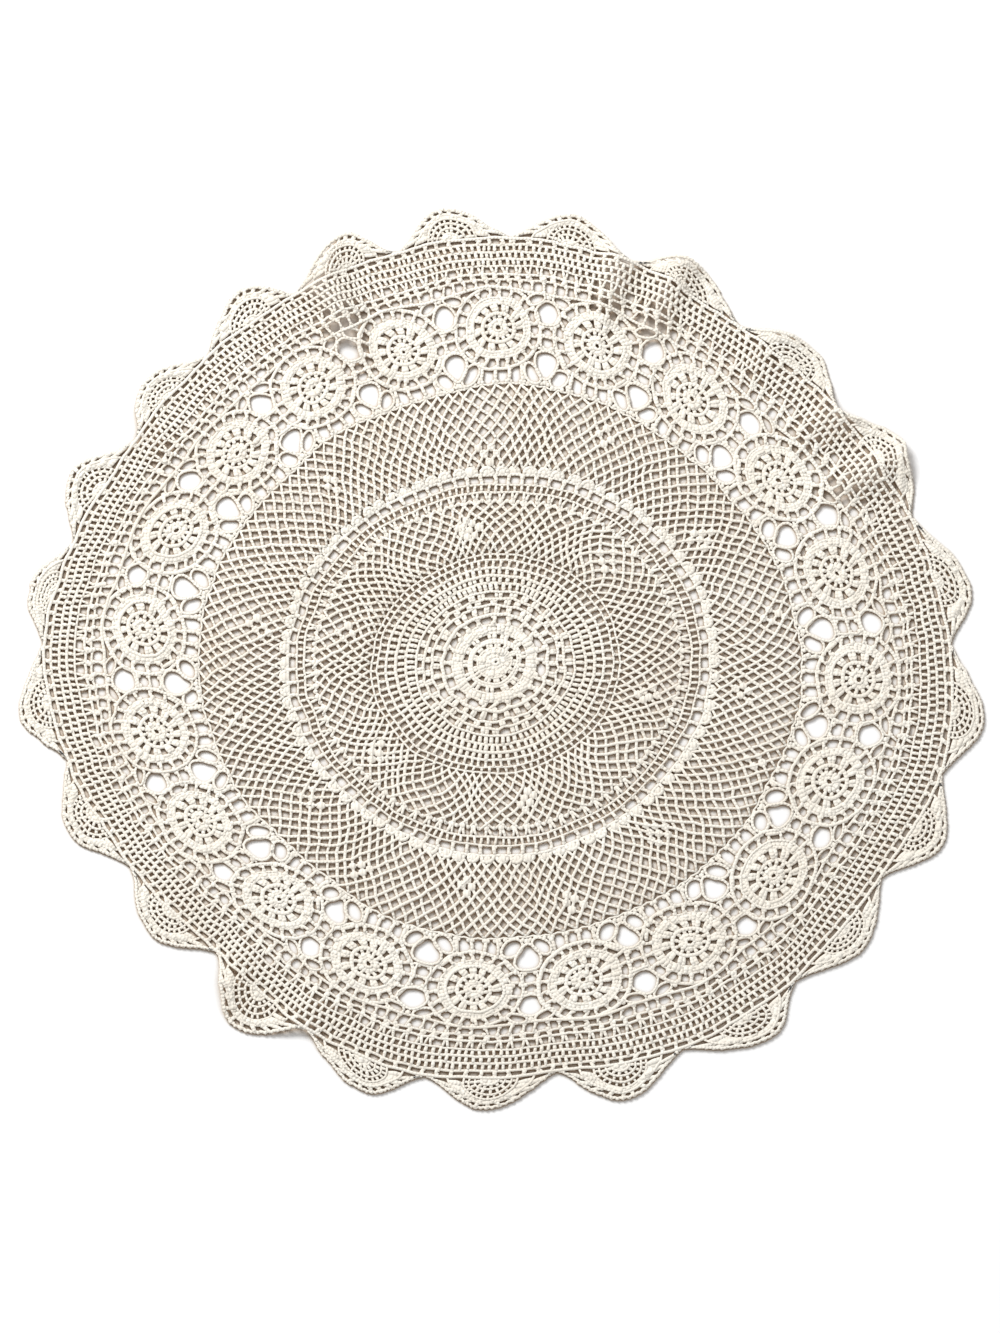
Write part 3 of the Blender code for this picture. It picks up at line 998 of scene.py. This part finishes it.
@dataclass(frozen=True)
class FloorFinish:
    """Plain pale surface with painted brown shade in the narrow places under and beside the work,
    darker where ambient occlusion finds the cords close.
    """

    # painted shade: the floor's colour by ambient occlusion, brown where the work lies close and
    # the plain pale floor where it is open
    stops: tuple[tuple[float, Colour], ...] = (
        (0.24, (0.24, 0.155, 0.09, 1.0)),
        (0.44, (0.41, 0.315, 0.22, 1.0)),
        (0.57, (0.61, 0.56, 0.49, 1.0)),
        (0.76, (0.70, 0.694, 0.688, 1.0)),
        (0.97, (0.775, 0.775, 0.775, 1.0)),
    )
    shade_reach: float = 0.012
    shade_samples: int = 12
    roughness: float = 0.7
    specular: float = 0.2

    def make(self) -> bpy.types.Material:
        """Make the material.

        Returns:
            The material.
        """
        recipe = Recipe("pale_floor")
        # painted shade, read from ambient occlusion
        shade_occlusion = recipe.add("AmbientOcclusion", Distance=self.shade_reach)
        shade_occlusion.samples = self.shade_samples
        recipe.fill(recipe.shader, {
            "Base Color": recipe.ramp(shade_occlusion.outputs["AO"], *self.stops),
            "Roughness": self.roughness, "Specular IOR Level": self.specular})
        return recipe.material


# ---- the pieces

@dataclass
class Rosette(ThreadWork):
    """The closed middle with its rings of loops and the filet rows around it."""

    name: str = "rosette"
    seed: int = 11
    filet_columns: int = 90
    wheel_columns: int = 33

    def stitch(self) -> None:
        """Work the piece's stitches."""
        self._middle()
        self._wheel_rows()
        self._filet()

    def _middle(self) -> None:
        """Work the closed disc, the two rings of small holes and the closed treble ring."""
        self.ring(2.0, 10)
        self.posts(2.4, 6.2, 14, 2.7)
        self.posts(5.8, 10.0, 30, 2.6)
        self.ring(10.2, 30, Stitch.FINE_CHAIN)
        self.clusters(10.4, 13.4, 13, 2.1, (-0.9, 0.9), (-1.0, 1.0), stray=0.07)
        self.ring(14.2, 36)
        self.ring(15.6, 40)
        self.clusters(15.8, 20.2, 13, 2.5, (-1.2, 1.2), (-1.5, 1.5), phase=0.5, stray=0.07)
        self.ring(20.6, 44, Stitch.FINE_CHAIN)
        self.posts(20.4, 26.4, 60, 3.1)
        self.ring(26.2, 60, Stitch.FINE_CHAIN)

    def _wheel_rows(self) -> None:
        """Work the ring of pointed loops and the three rows of wide trebles."""
        self.posts(26.4, 32.0, 20, 2.3, stray=0.15)
        self.bead_ring(27.1, 20, 4.6)
        self.bead_ring(31.9, 20, 4.2)
        self.ring(33.0, 60, Stitch.THICK_CHAIN, width=2.3, wobble=0.5)
        count = self.wheel_columns
        self.clusters(33.8, 38.8, count, 2.3, (-0.5, 0.5), (-0.8, 0.8), stray=0.13)
        self.ring(39.7, 2 * count, width=1.8, wobble=0.55)
        self.clusters(40.2, 43.6, count, 2.4, (-1.0, 1.0), (-0.8, 0.8), phase=0.4, stray=0.12)
        self.ring(44.4, 2 * count, width=1.7, wobble=0.5)
        self.clusters(44.8, 48.8, count, 2.4, (-1.2, 1.2), (-1.2, 1.2), phase=0.1, stray=0.1)
        self.ring(49.4, 2 * count, width=1.6)

    def _filet(self) -> None:
        """Work the filet rows out to the inner net."""
        columns = self.filet_columns
        for inner, outer, phase in ((49.9, 55.1, 0.0), (55.7, 60.5, 0.3), (61.1, 66.0, 0.5)):
            self.posts(inner, outer, columns, 2.4, phase=phase)
            self.ring(outer + 0.3, columns, Stitch.FINE_CHAIN, width=1.8)
        self.posts(66.4, 71.6, columns, 1.7, phase=0.5)
        self.bead_ring(67.2, columns, 2.6, phase=0.5)
        self.bead_ring(71.0, columns, 2.8, phase=0.5)
        self.ring(72.0, columns, Stitch.FINE_CHAIN, width=1.3)
        self.posts(72.2, 75.6, columns, 1.7)
        self.bead_ring(72.7, columns, 2.2)
        self.ring(76.0, columns, Stitch.FINE_CHAIN, width=1.3)


@dataclass
class DiamondNet:
    """A net of diamonds between two radii, with closed clusters standing in it."""

    columns: int
    rows: int
    inner: float
    outer: float
    clusters: tuple[Cluster, ...]
    phase: float
    drift: float = 3.0
    stray: float = 0.4
    cord_width: float = 1.75
    knot_width: float = 2.9
    cluster_radius: float = 9.5
    cluster_knot: tuple[float, float] = (6.2, 1.3)
    seed: int = 5

    def node(self, column: Array, row: Array) -> tuple[Array, Array]:
        """Return the angle and radius of the net's nodes, which drift between its edges.

        Args:
            column: the node's column, a whole or half number.
            row: the node's row, from the inner edge.

        Returns:
            The node's angle and radius.
        """
        share = row / self.rows
        angle = (column + self.phase) * FULL_TURN / self.columns
        radius = self.inner + (self.outer - self.inner) * share
        bow = np.sin(math.pi * share)
        # several slow waves that don't repeat within the round
        turn = np.radians(angle)
        pull = (np.sin(5 * turn + self.seed) + 0.8 * np.sin(9 * turn + 2 * self.seed)
                + 0.7 * np.sin(14 * turn + 3 * self.seed)) / 1.5
        reach = np.sin(7 * turn + self.seed) + np.sin(12 * turn + 1)
        angle = angle + np.degrees(self.drift * bow * pull / radius)
        return angle, radius + 0.25 * self.drift * bow * reach

    def weave(self, work: ThreadWork) -> None:
        """Work the net's two families of slanting cords and its knots.

        Args:
            work: the piece that the net belongs to.
        """
        stray = work.draw.normal(0, self.stray, (self.rows + 1, 2 * self.columns, 2))
        stray[[0, -1]] = 0
        rows = np.arange(self.rows + 1)
        for direction in (-1, 1):
            for first in range(self.columns):
                column = first + direction * rows / 2
                points = work.round.spot(*self.node(column, rows))
                points += stray[rows, (2 * column).astype(int) % (2 * self.columns)]
                work.cord(points, width=self.cord_width)
        for row in range(1, self.rows):
            column = np.arange(self.columns) + row % 2 / 2
            angle, radius = self.node(column, np.full(self.columns, row))
            points = work.round.spot(angle, radius) + stray[row, (2 * column).astype(int)]
            for place, reach, point in zip(angle, radius, points):
                if self.in_cluster(place, reach):
                    work.bead(point, *self.cluster_knot)
                else:
                    work.bead(point, self.knot_width)

    def in_cluster(self, angle: float, radius: float) -> bool:
        """Return whether a place lies in a closed cluster.

        Args:
            angle: the place's angle.
            radius: its radius.

        Returns:
            True within the diamond of a cluster.
        """
        for cluster in self.clusters:
            offset = (angle - cluster.angle + HALF_TURN) % FULL_TURN - HALF_TURN
            across = math.radians(offset) * radius
            if abs(across) + abs(radius - cluster.radius) < self.cluster_radius:
                return True
        return False


@dataclass
class InnerNet(ThreadWork):
    """The inner diamond net and the ring of shells around it."""

    name: str = "inner_net"
    seed: int = 12
    net: DiamondNet = field(default_factory=lambda: DiamondNet(
        columns=90, rows=9, inner=77.4, outer=114.0, clusters=INNER_CLUSTERS, phase=0.0, seed=3))
    shell_half_width: float = 3.7
    shell_height: float = 4.6
    shell_foot: float = 130.6
    shell_cord: float = 2.3
    shell_fullness: float = 0.8
    shell_knot: float = 6.4
    shell_stray: float = 0.05       # spread of the shells' places, in steps

    def stitch(self) -> None:
        """Work the piece's stitches."""
        count = self.net.columns
        self.bead_ring(77.0, count, 2.6)
        self.net.weave(self)
        self.bead_ring(112.8, count, 4.4)
        self.bead_ring(113.0, count, 3.2, phase=0.5)
        self.clusters(113.2, 118.5, count, 1.8, (-0.4, 0.4), (-1.7, 1.7))
        self.ring(118.9, 2 * count, Stitch.FINE_CHAIN, width=1.3)
        self.posts(119.1, 123.8, 2 * count, 1.7)
        self.ring(124.1, 2 * count, Stitch.FINE_CHAIN, width=1.3)
        self.posts(124.2, 129.8, count, 2.1, phase=0.5)
        self.bead_ring(124.8, count, 3.2, phase=0.5)
        self.bead_ring(129.2, count, 3.2, phase=0.5)
        self.ring(self.shell_foot, 2 * count, width=1.9)
        self._shells()

    def _shells(self) -> None:
        """Work the closed shells of the ring, each a low dome."""
        turns = np.radians(np.linspace(0, HALF_TURN, 7))
        across = self.shell_half_width * np.cos(turns)
        along = self.shell_foot + self.shell_height * np.sin(turns) ** self.shell_fullness
        step = FULL_TURN / self.net.columns
        for index in range(self.net.columns):
            angle = (index + self.draw.normal(0, self.shell_stray)) * step
            self.cord(across_radius(angle, across, along), width=self.shell_cord)
            self.knots(angle, Knot(0.0, self.shell_foot + self.shell_height / 2, self.shell_knot))


@dataclass
class OuterNet(ThreadWork):
    """The outer diamond net, the inner join loops and the edges of the large holes."""

    name: str = "outer_net"
    seed: int = 13
    net: DiamondNet = field(default_factory=lambda: DiamondNet(
        columns=140, rows=11, inner=134.2, outer=185.7, clusters=OUTER_CLUSTERS,
        phase=MEDALLION_START * 140 / FULL_TURN, seed=5))
    edge_radius: float = 185.8
    edge_wave: float = 0.9
    egg_radius: float = 200.0
    egg_half_width: float = 7.8
    egg_half_height: float = 9.0
    egg_point: float = 0.42
    side_hole: Oval = Oval(9.2, 193.2, 7.2, 5.1, 40.0)
    side_knots: tuple[Knot, ...] = (
        Knot(2.2, 188.2, 3.2), Knot(5.2, 187.0, 3.4), Knot(11.8, 187.0, 3.4),
        Knot(15.6, 189.2, 4.2), Knot(17.0, 193.6, 3.4), Knot(16.0, 198.6, 3.2))
    middle_knot: Knot = Knot(0.0, 189.2, 4.4)
    joins: tuple[JoinLoop, ...] = (
        JoinLoop(-13.4, 186.6, 198.8), JoinLoop(-4.4, 186.8, 196.2),
        JoinLoop(4.4, 186.8, 196.2), JoinLoop(13.4, 186.6, 198.8))
    join_stray: float = 0.6
    join_knots_apart: float = 1.2   # half the distance of the two knots at each end of a loop
    foot_knot_radius: float = 187.4

    def stitch(self) -> None:
        """Work the piece's stitches."""
        self.net.weave(self)
        columns = np.arange(self.net.columns * 2) / 2
        angle, _ = self.net.node(columns, np.zeros_like(columns))
        radius = self.edge_radius + self.edge_wave * (np.arange(len(columns)) % 2)
        self.cord(self.round.spot(angle, radius), width=1.5, closed=True)
        for angle in MEDALLION_ANGLES:
            self._join(angle)
            self._gap(angle + MEDALLION_STEP / 2)

    def _join(self, angle: float) -> None:
        """Work the join loops in front of a medallion.

        Args:
            angle: the medallion's charted angle.
        """
        for across, foot, head in self.joins:
            shift = self.draw.normal(0, self.join_stray)
            row = np.array([across + shift, across, across * 0.98])
            self.cord(across_radius(angle, row, with_middle(foot, head)), width=2.2)
            for aside in (-self.join_knots_apart, self.join_knots_apart):
                self.knots(angle, Knot(across + shift + aside, self.foot_knot_radius, 3.2),
                           Knot(across + aside, head - 0.6, 3.0))

    def _gap(self, angle: float) -> None:
        """Work the edges of the large holes on the inner side of a gap between medallions.

        Args:
            angle: the gap's charted angle.
        """
        across = self.egg_half_width * np.sin(EGG_TURNS) * (1 + self.egg_point * np.cos(EGG_TURNS))
        along = self.egg_radius + self.egg_half_height * np.cos(EGG_TURNS)
        self.cord(across_radius(angle, across, along), width=1.7, closed=True)
        for side in (-1, 1):
            self.cord(oval_edge(angle, side, self.side_hole), width=1.6, closed=True)
            across, along = np.array([14.4, 12.0, 9.8]) * side, np.array([200.6, 204.0, 207.4])
            self.cord(across_radius(angle, across, along), Stitch.THICK_CHAIN)
            self.knots(angle, *self.side_knots, side=side)
        self.knots(angle, self.middle_knot)


@dataclass
class RingMedallion(ThreadWork):
    """A round medallion of the ring, with its join to the next one."""

    index: int = 0
    rays: int = 12
    loops: int = 20
    tie_radius: float = 217.4
    egg_radius: float = 232.8
    egg_half_width: float = 8.6
    egg_half_height: float = 7.9
    egg_point: float = 0.22

    def __post_init__(self) -> None:
        """Number the medallion and place it in the ring, a little askew."""
        self.name = f"worked_medallion_{self.index + 1:02d}"
        self.node = f"medallion_{self.index + 1:02d}"
        self.seed = 100 + self.index
        self.angle = MEDALLION_ANGLES[self.index]
        self.round = MedallionRound(self.angle, skew=0.05 * math.sin(2.3 * self.index))
        super().__post_init__()

    def stitch(self) -> None:
        """Work the piece's stitches."""
        self._wheel(self.draw.uniform(0, 1))
        self._rim()
        self._join()

    def _wheel(self, turn: float) -> None:
        """Work the closed middle, the rays and the closed treble ring.

        Args:
            turn: how far the wheel is turned, in rays.
        """
        self.ring(2.2, 10)
        self.posts(2.8, 5.9, 15, 2.9)
        self.posts(6.2, 8.6, self.rays, 2.3, phase=turn)
        self.ring(9.4, 28, width=2.4)
        self.clusters(10.4, 15.2, self.rays, 2.9, (-1.0, 0.4), (-0.5, 1.9), phase=turn + 0.5)
        self.ring(15.9, 36)
        self.posts(15.4, 19.6, 50, 3.0)
        self.ring(19.6, 44, Stitch.FINE_CHAIN)

    def _rim(self) -> None:
        """Work the loops around the medallion and the rim."""
        self.posts(20.0, 25.2, self.loops, 2.0, phase=0.5, stray=0.12)
        self.bead_ring(20.5, self.loops, 3.7, phase=0.5)
        self.bead_ring(24.9, self.loops, 3.7, phase=0.5)
        self.ring(25.9, 2 * self.loops, width=2.1, wobble=0.2)

    def _join(self) -> None:
        """Work the join loops to the next medallion and the edge of the large hole over them."""
        gap = self.angle + MEDALLION_STEP / 2
        across = np.array([-6.2, -2.4, 2.4, 6.2])
        for offset, width in ((-7.6, 1.7), (-0.2, 1.5), (6.8, 1.6)):
            self.cord(across_radius(gap, across, np.full(4, self.tie_radius + offset)), width=width)
        for side in (-1, 1):
            across = np.array([4.0, 5.0, 4.2, 5.0, 4.0]) * side
            along = self.tie_radius + np.array([-7.4, -3.6, 0.2, 3.4, 6.4])
            self.cord(across_radius(gap, across, along), width=1.6)
            self.knots(gap, *(Knot(3.2, self.tie_radius + offset, 3.4)
                              for offset in (-6.8, 0.2, 5.8)), side=side)
        across = self.egg_half_width * np.cos(EGG_TURNS) * (1 - self.egg_point * np.sin(EGG_TURNS))
        along = self.egg_radius + self.egg_half_height * np.sin(EGG_TURNS)
        self.cord(across_radius(gap, across, along), width=1.5, closed=True)


@dataclass
class BorderBand(ThreadWork):
    """The border's join loops and mesh rows, up to the scallops."""

    name: str = "border_band"
    node: str = "border"
    seed: int = 14
    columns: int = 200
    base_radius: float = 247.0      # radius of the join loops' cord over a medallion
    base_dip: float = 0.10          # how fast it falls towards the gap
    base_lowest: float = 244.4      # its radius along the gap
    head_radius: float = 251.6      # radius of the join loops' heads
    head_stray: float = 0.26        # spread of their places, in degrees
    side_hole: Oval = Oval(8.9, 240.6, 6.6, 3.2, -22.0)
    side_knots: tuple[Knot, ...] = (Knot(16.6, 240.2, 3.6), Knot(13.6, 243.4, 3.0))
    middle_knot: Knot = Knot(0.0, 243.0, 4.4)

    def stitch(self) -> None:
        """Work the piece's stitches."""
        for angle in MEDALLION_ANGLES:
            self._join_loops(angle)
            self._gap(angle + MEDALLION_STEP / 2)
        self._rows()

    def _base(self, offset: Number) -> Array:
        """Return the radius of the join loops' cord at angles from the medallion's middle."""
        return np.maximum(self.base_radius - self.base_dip * np.abs(offset) ** 1.8,
                          self.base_lowest)

    def _join_loops(self, angle: float) -> None:
        """Work the row of join loops over one medallion and half of both gaps.

        Args:
            angle: the medallion's charted angle.
        """
        loops = self.columns // MEDALLION_COUNT
        offsets = np.linspace(-0.5, 0.5, 2 * loops + 1) * MEDALLION_STEP
        self.cord(self.round.spot(angle + offsets, self._base(offsets)), width=1.8)
        for offset in offsets[1::2]:
            foot = float(self._base(offset))
            stray = self.draw.normal(0, self.head_stray)
            self.post(angle + offset, foot, angle + offset + stray, self.head_radius, 1.6)
            for radius in (foot + 0.8, self.head_radius - 0.3):
                self.bead(self.round.spot(angle + offset, radius)[0], 3.6)

    def _gap(self, angle: float) -> None:
        """Work the edges of the two narrow holes on the outer side of a gap.

        Args:
            angle: the gap's charted angle.
        """
        for side in (-1, 1):
            self.cord(oval_edge(angle, side, self.side_hole), width=1.5, closed=True)
            self.knots(angle, *self.side_knots, side=side)
        self.knots(angle, self.middle_knot)

    def _rows(self) -> None:
        """Work the diamonds, the medium holes, the three mesh rows and the slots."""
        count = self.columns
        self.ring(252.2, 2 * count, Stitch.FINE_CHAIN, wobble=0.3)
        self.posts(252.4, 255.4, count, 3.0, stray=0.16)
        self.bead_ring(252.9, count, 3.6)
        self.bead_ring(254.9, count, 3.6)
        self.ring(255.7, 2 * count, width=1.7, wobble=0.3)
        self.clusters(255.9, 261.0, count, 1.7, (-0.5, 0.5), (-1.9, 1.9), stray=0.1)
        self.bead_ring(256.7, count, 2.8)
        self.ring(261.4, 2 * count, Stitch.FINE_CHAIN, width=1.3)
        for row, inner in enumerate((261.6, 266.2, 270.8)):
            self.posts(inner, inner + 4.2, 2 * count, 2.1, phase=0.5 + 0.3 * row)
            self.ring(inner + 4.4, 2 * count, Stitch.FINE_CHAIN, width=1.6)
        self.posts(275.4, 278.4, count, 2.2, stray=0.14)
        self.bead_ring(275.9, count, 3.0)
        self.bead_ring(278.0, count, 3.0)
        self.ring(279.0, 2 * count)


class FanRow(NamedTuple):
    """A row of a scallop's middle: posts between two half ovals and the cord over them."""

    feet: tuple[float, float]
    heads: tuple[float, float]
    posts: int
    post_width: float
    cord: tuple[float, float]
    cord_points: slice
    cord_width: float


ALL_POINTS = slice(None)
EVERY_OTHER = slice(None, None, 2)
# each half oval is given by its half width and its height
FAN_ROWS = (
    FanRow((1.2, 0.5), (5.0, 3.0), 5, 3.2, (5.6, 3.6), EVERY_OTHER, 1.6),
    FanRow((5.8, 4.0), (8.6, 6.6), 6, 1.9, (9.4, 7.2), EVERY_OTHER, 1.6),
    FanRow((9.8, 7.6), (12.4, 10.1), 8, 1.9, (13.0, 10.7), ALL_POINTS, 1.5),
    FanRow((13.3, 11.0), (15.7, 13.3), 12, 1.6, (16.2, 13.8), ALL_POINTS, 1.5),
)


@dataclass
class ScallopEdging(ThreadWork):
    """The 22 scallops and their looped edge."""

    name: str = "scallop_edging"
    node: str = "border"
    seed: int = 15
    foot: float = 279.8
    half_width: float = 38.6
    edge_radius: float = TIP_RADIUS - 1.0
    middle_half_width: float = 17.0
    middle_height: float = 14.0
    # the outer part's rows stand at these shares of its depth
    legs: int = 28
    leg_ends: tuple[float, float] = (0.0, 0.38)
    arc_points: int = 27
    arc_share: float = 0.42
    loops: int = 10
    loop_ends: tuple[float, float] = (0.47, 0.95)
    picots: int = 25
    picot_depth: float = 0.10

    def stitch(self) -> None:
        """Work the piece's stitches."""
        for index in range(SCALLOP_COUNT):
            self._scallop(SCALLOP_START + index * SCALLOP_STEP)

    def _carry(self, tip: float, across: Array, along: Array) -> Array:
        """Return charted X and Y of places across a scallop and out from its foot."""
        return np.column_stack(polar(tip + np.degrees(across / self.foot), self.foot + along))

    def _spot(self, tip: float, turn: Array, share: Number) -> Array:
        """Return places in a scallop's outer part.

        Args:
            tip: charted angle of the scallop's tip.
            turn: direction in the fan, from 0 at one valley to 180 at the other.
            share: how far out, from 0 at the closed middle's edge to 1 at the scallop's edge.

        Returns:
            Rows of charted X and Y.
        """
        aside = np.cos(np.radians(turn))
        outer_across = self.half_width * aside
        rise = np.cos(math.pi / 2 * np.abs(aside)) ** SCALLOP_FULLNESS
        outer_along = (self.edge_radius - self.foot) * rise
        inner_across = self.middle_half_width * aside
        inner_along = self.middle_height * np.sin(np.radians(turn))
        return self._carry(tip, inner_across + (outer_across - inner_across) * share,
                           inner_along + (outer_along - inner_along) * share)

    def _oval(self, tip: float, turns: Array, half_width: float, height: float) -> Array:
        """Return places on a half oval over the scallop's foot."""
        turns = np.radians(turns)
        return self._carry(tip, half_width * np.cos(turns), height * np.sin(turns))

    @staticmethod
    def _evenly(count: int, reach: float) -> Array:
        """Return fan directions that stand evenly across the scallop."""
        return np.degrees(np.arccos(np.linspace(reach, -reach, count)))

    def _scallop(self, tip: float) -> None:
        """Work one scallop: its closed middle, its outer part and its edge.

        Args:
            tip: charted angle of its tip.
        """
        turns = np.linspace(0.0, HALF_TURN, 15)
        for row in FAN_ROWS:
            self._spokes(tip, row)
            self.cord(self._oval(tip, turns[row.cord_points], *row.cord), width=row.cord_width)
        for turn in self._evenly(self.legs, 0.97) + self.draw.normal(0, 0.5, self.legs):
            places = self._spot(tip, np.full(3, turn), with_middle(*self.leg_ends))
            self.cord(places, Stitch.TREBLE, width=3.1)
        arc = self._spot(tip, self._evenly(self.arc_points, 1.0), self.arc_share)
        self.cord(arc, width=1.7)
        for turn in self._evenly(self.loops, 0.87) + self.draw.normal(0, 0.7, self.loops):
            foot, head = self._spot(tip, np.array([turn, turn]), np.array(self.loop_ends))
            self.cord(with_middle(foot, head), Stitch.TREBLE, width=2.5)
            self.bead(foot, 3.4)
            self.bead(head, 2.9)
        self._edge(tip)

    def _spokes(self, tip: float, row: FanRow) -> None:
        """Work the posts of a row of the scallop's middle.

        Args:
            tip: charted angle of the scallop's tip.
            row: the row.
        """
        turns = (np.arange(row.posts) + 0.5) * HALF_TURN / row.posts
        turns = turns + self.draw.normal(0, 14.0 / row.posts, row.posts)
        feet, heads = self._oval(tip, turns, *row.feet), self._oval(tip, turns, *row.heads)
        for foot, head in zip(feet, heads):
            self.cord(with_middle(foot, head), Stitch.TREBLE, width=row.post_width)

    def _edge(self, tip: float) -> None:
        """Work the wavy outer cord with a small knot on each of its waves.

        Args:
            tip: charted angle of the scallop's tip.
        """
        turns = self._evenly(2 * self.picots - 1, 1.0)
        places = self._spot(tip, turns, 1.0 - self.picot_depth * (np.arange(len(turns)) % 2))
        self.cord(places, width=1.7)
        for place in places[2:-2:2]:
            self.bead(place, 2.3 + self.draw.normal(0, 0.25))


# ---- the studio

@dataclass
class Studio:
    """A pale floor with painted shade under the work, soft light from the upper left and the
    camera.
    """

    floor_size: float = 16.0
    floor_drop: float = 0.0002      # how far the floor lies under the cloth
    lamp_size: float = 1.5
    lamp_power: float = 126.0
    lamp_place: tuple[float, float, float] = (-1.45, 1.9, 2.2)
    room_light: float = 0.75
    metres_per_pixel: float = 0.000628
    width_px: float = 1000.0
    height_px: float = 1333.0
    middle_px: tuple[float, float] = (494.5, 663.5)
    elevation: float = 68.4
    lens_mm: float = 1000.0
    sensor_mm: float = 36.0
    clip_end: float = 40.0

    def make(self) -> None:
        """Make the floor, the lights and the camera."""
        self._floor()
        self._lights()
        self._camera()

    def _floor(self) -> None:
        """Lay the floor just under the cloth."""
        bpy.ops.mesh.primitive_plane_add(size=self.floor_size, location=(0, 0, -self.floor_drop))
        floor = bpy.context.active_object
        floor.name = "floor"
        floor.data.materials.append(FloorFinish().make())

    def _lights(self) -> None:
        """Hang a broad soft light at the upper left and light the room evenly."""
        light = bpy.data.lights.new("soft_window", "AREA")
        light.shape = "DISK"
        light.size = self.lamp_size
        light.energy = self.lamp_power
        lamp = bpy.data.objects.new("soft_window", light)
        lamp.location = self.lamp_place
        lamp.rotation_euler = (-Vector(lamp.location)).to_track_quat("-Z", "Y").to_euler()
        bpy.context.scene.collection.objects.link(lamp)
        world = bpy.data.worlds.new("studio")
        world.use_nodes = True
        room = world.node_tree.nodes["Background"].inputs
        room["Color"].default_value = (1.0, 1.0, 1.0, 1.0)
        room["Strength"].default_value = self.room_light
        bpy.context.scene.world = world
        bpy.context.scene.view_settings.view_transform = "Standard"

    def _camera(self) -> None:
        """Place the camera at the object's viewing angle."""
        view_width = self.width_px * self.metres_per_pixel
        distance = view_width * self.lens_mm / self.sensor_mm
        tilt = math.radians(self.elevation)
        aside = (self.width_px / 2 - self.middle_px[0]) * self.metres_per_pixel
        below = (self.middle_px[1] - self.height_px / 2) * self.metres_per_pixel
        target = Vector((aside, below / math.sin(tilt), 0.0))
        camera = bpy.data.objects.new("camera", bpy.data.cameras.new("camera"))
        camera.data.sensor_fit = "HORIZONTAL"
        camera.data.sensor_width = self.sensor_mm
        camera.data.lens = self.lens_mm
        camera.data.clip_end = self.clip_end
        camera.location = target + Vector((0.0, -math.cos(tilt), math.sin(tilt))) * distance
        camera.rotation_euler = (target - camera.location).to_track_quat("-Z", "Y").to_euler()
        bpy.context.scene.collection.objects.link(camera)
        bpy.context.scene.camera = camera


# ---- the scene


def main() -> None:
    """Build the doily around the frame."""
    logging.basicConfig(level=logging.INFO)
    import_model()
    layout = Layout()
    cotton = CottonFinish().make()

    rosette = Rosette(layout, cotton).make()
    inner_net = InnerNet(layout, cotton).make()
    outer_net = OuterNet(layout, cotton).make()
    medallions = [RingMedallion(layout, cotton, index=index).make()
                  for index in range(MEDALLION_COUNT)]
    band = BorderBand(layout, cotton).make()
    edging = ScallopEdging(layout, cotton).make()
    Studio().make()


if __name__ == "__main__":
    main()
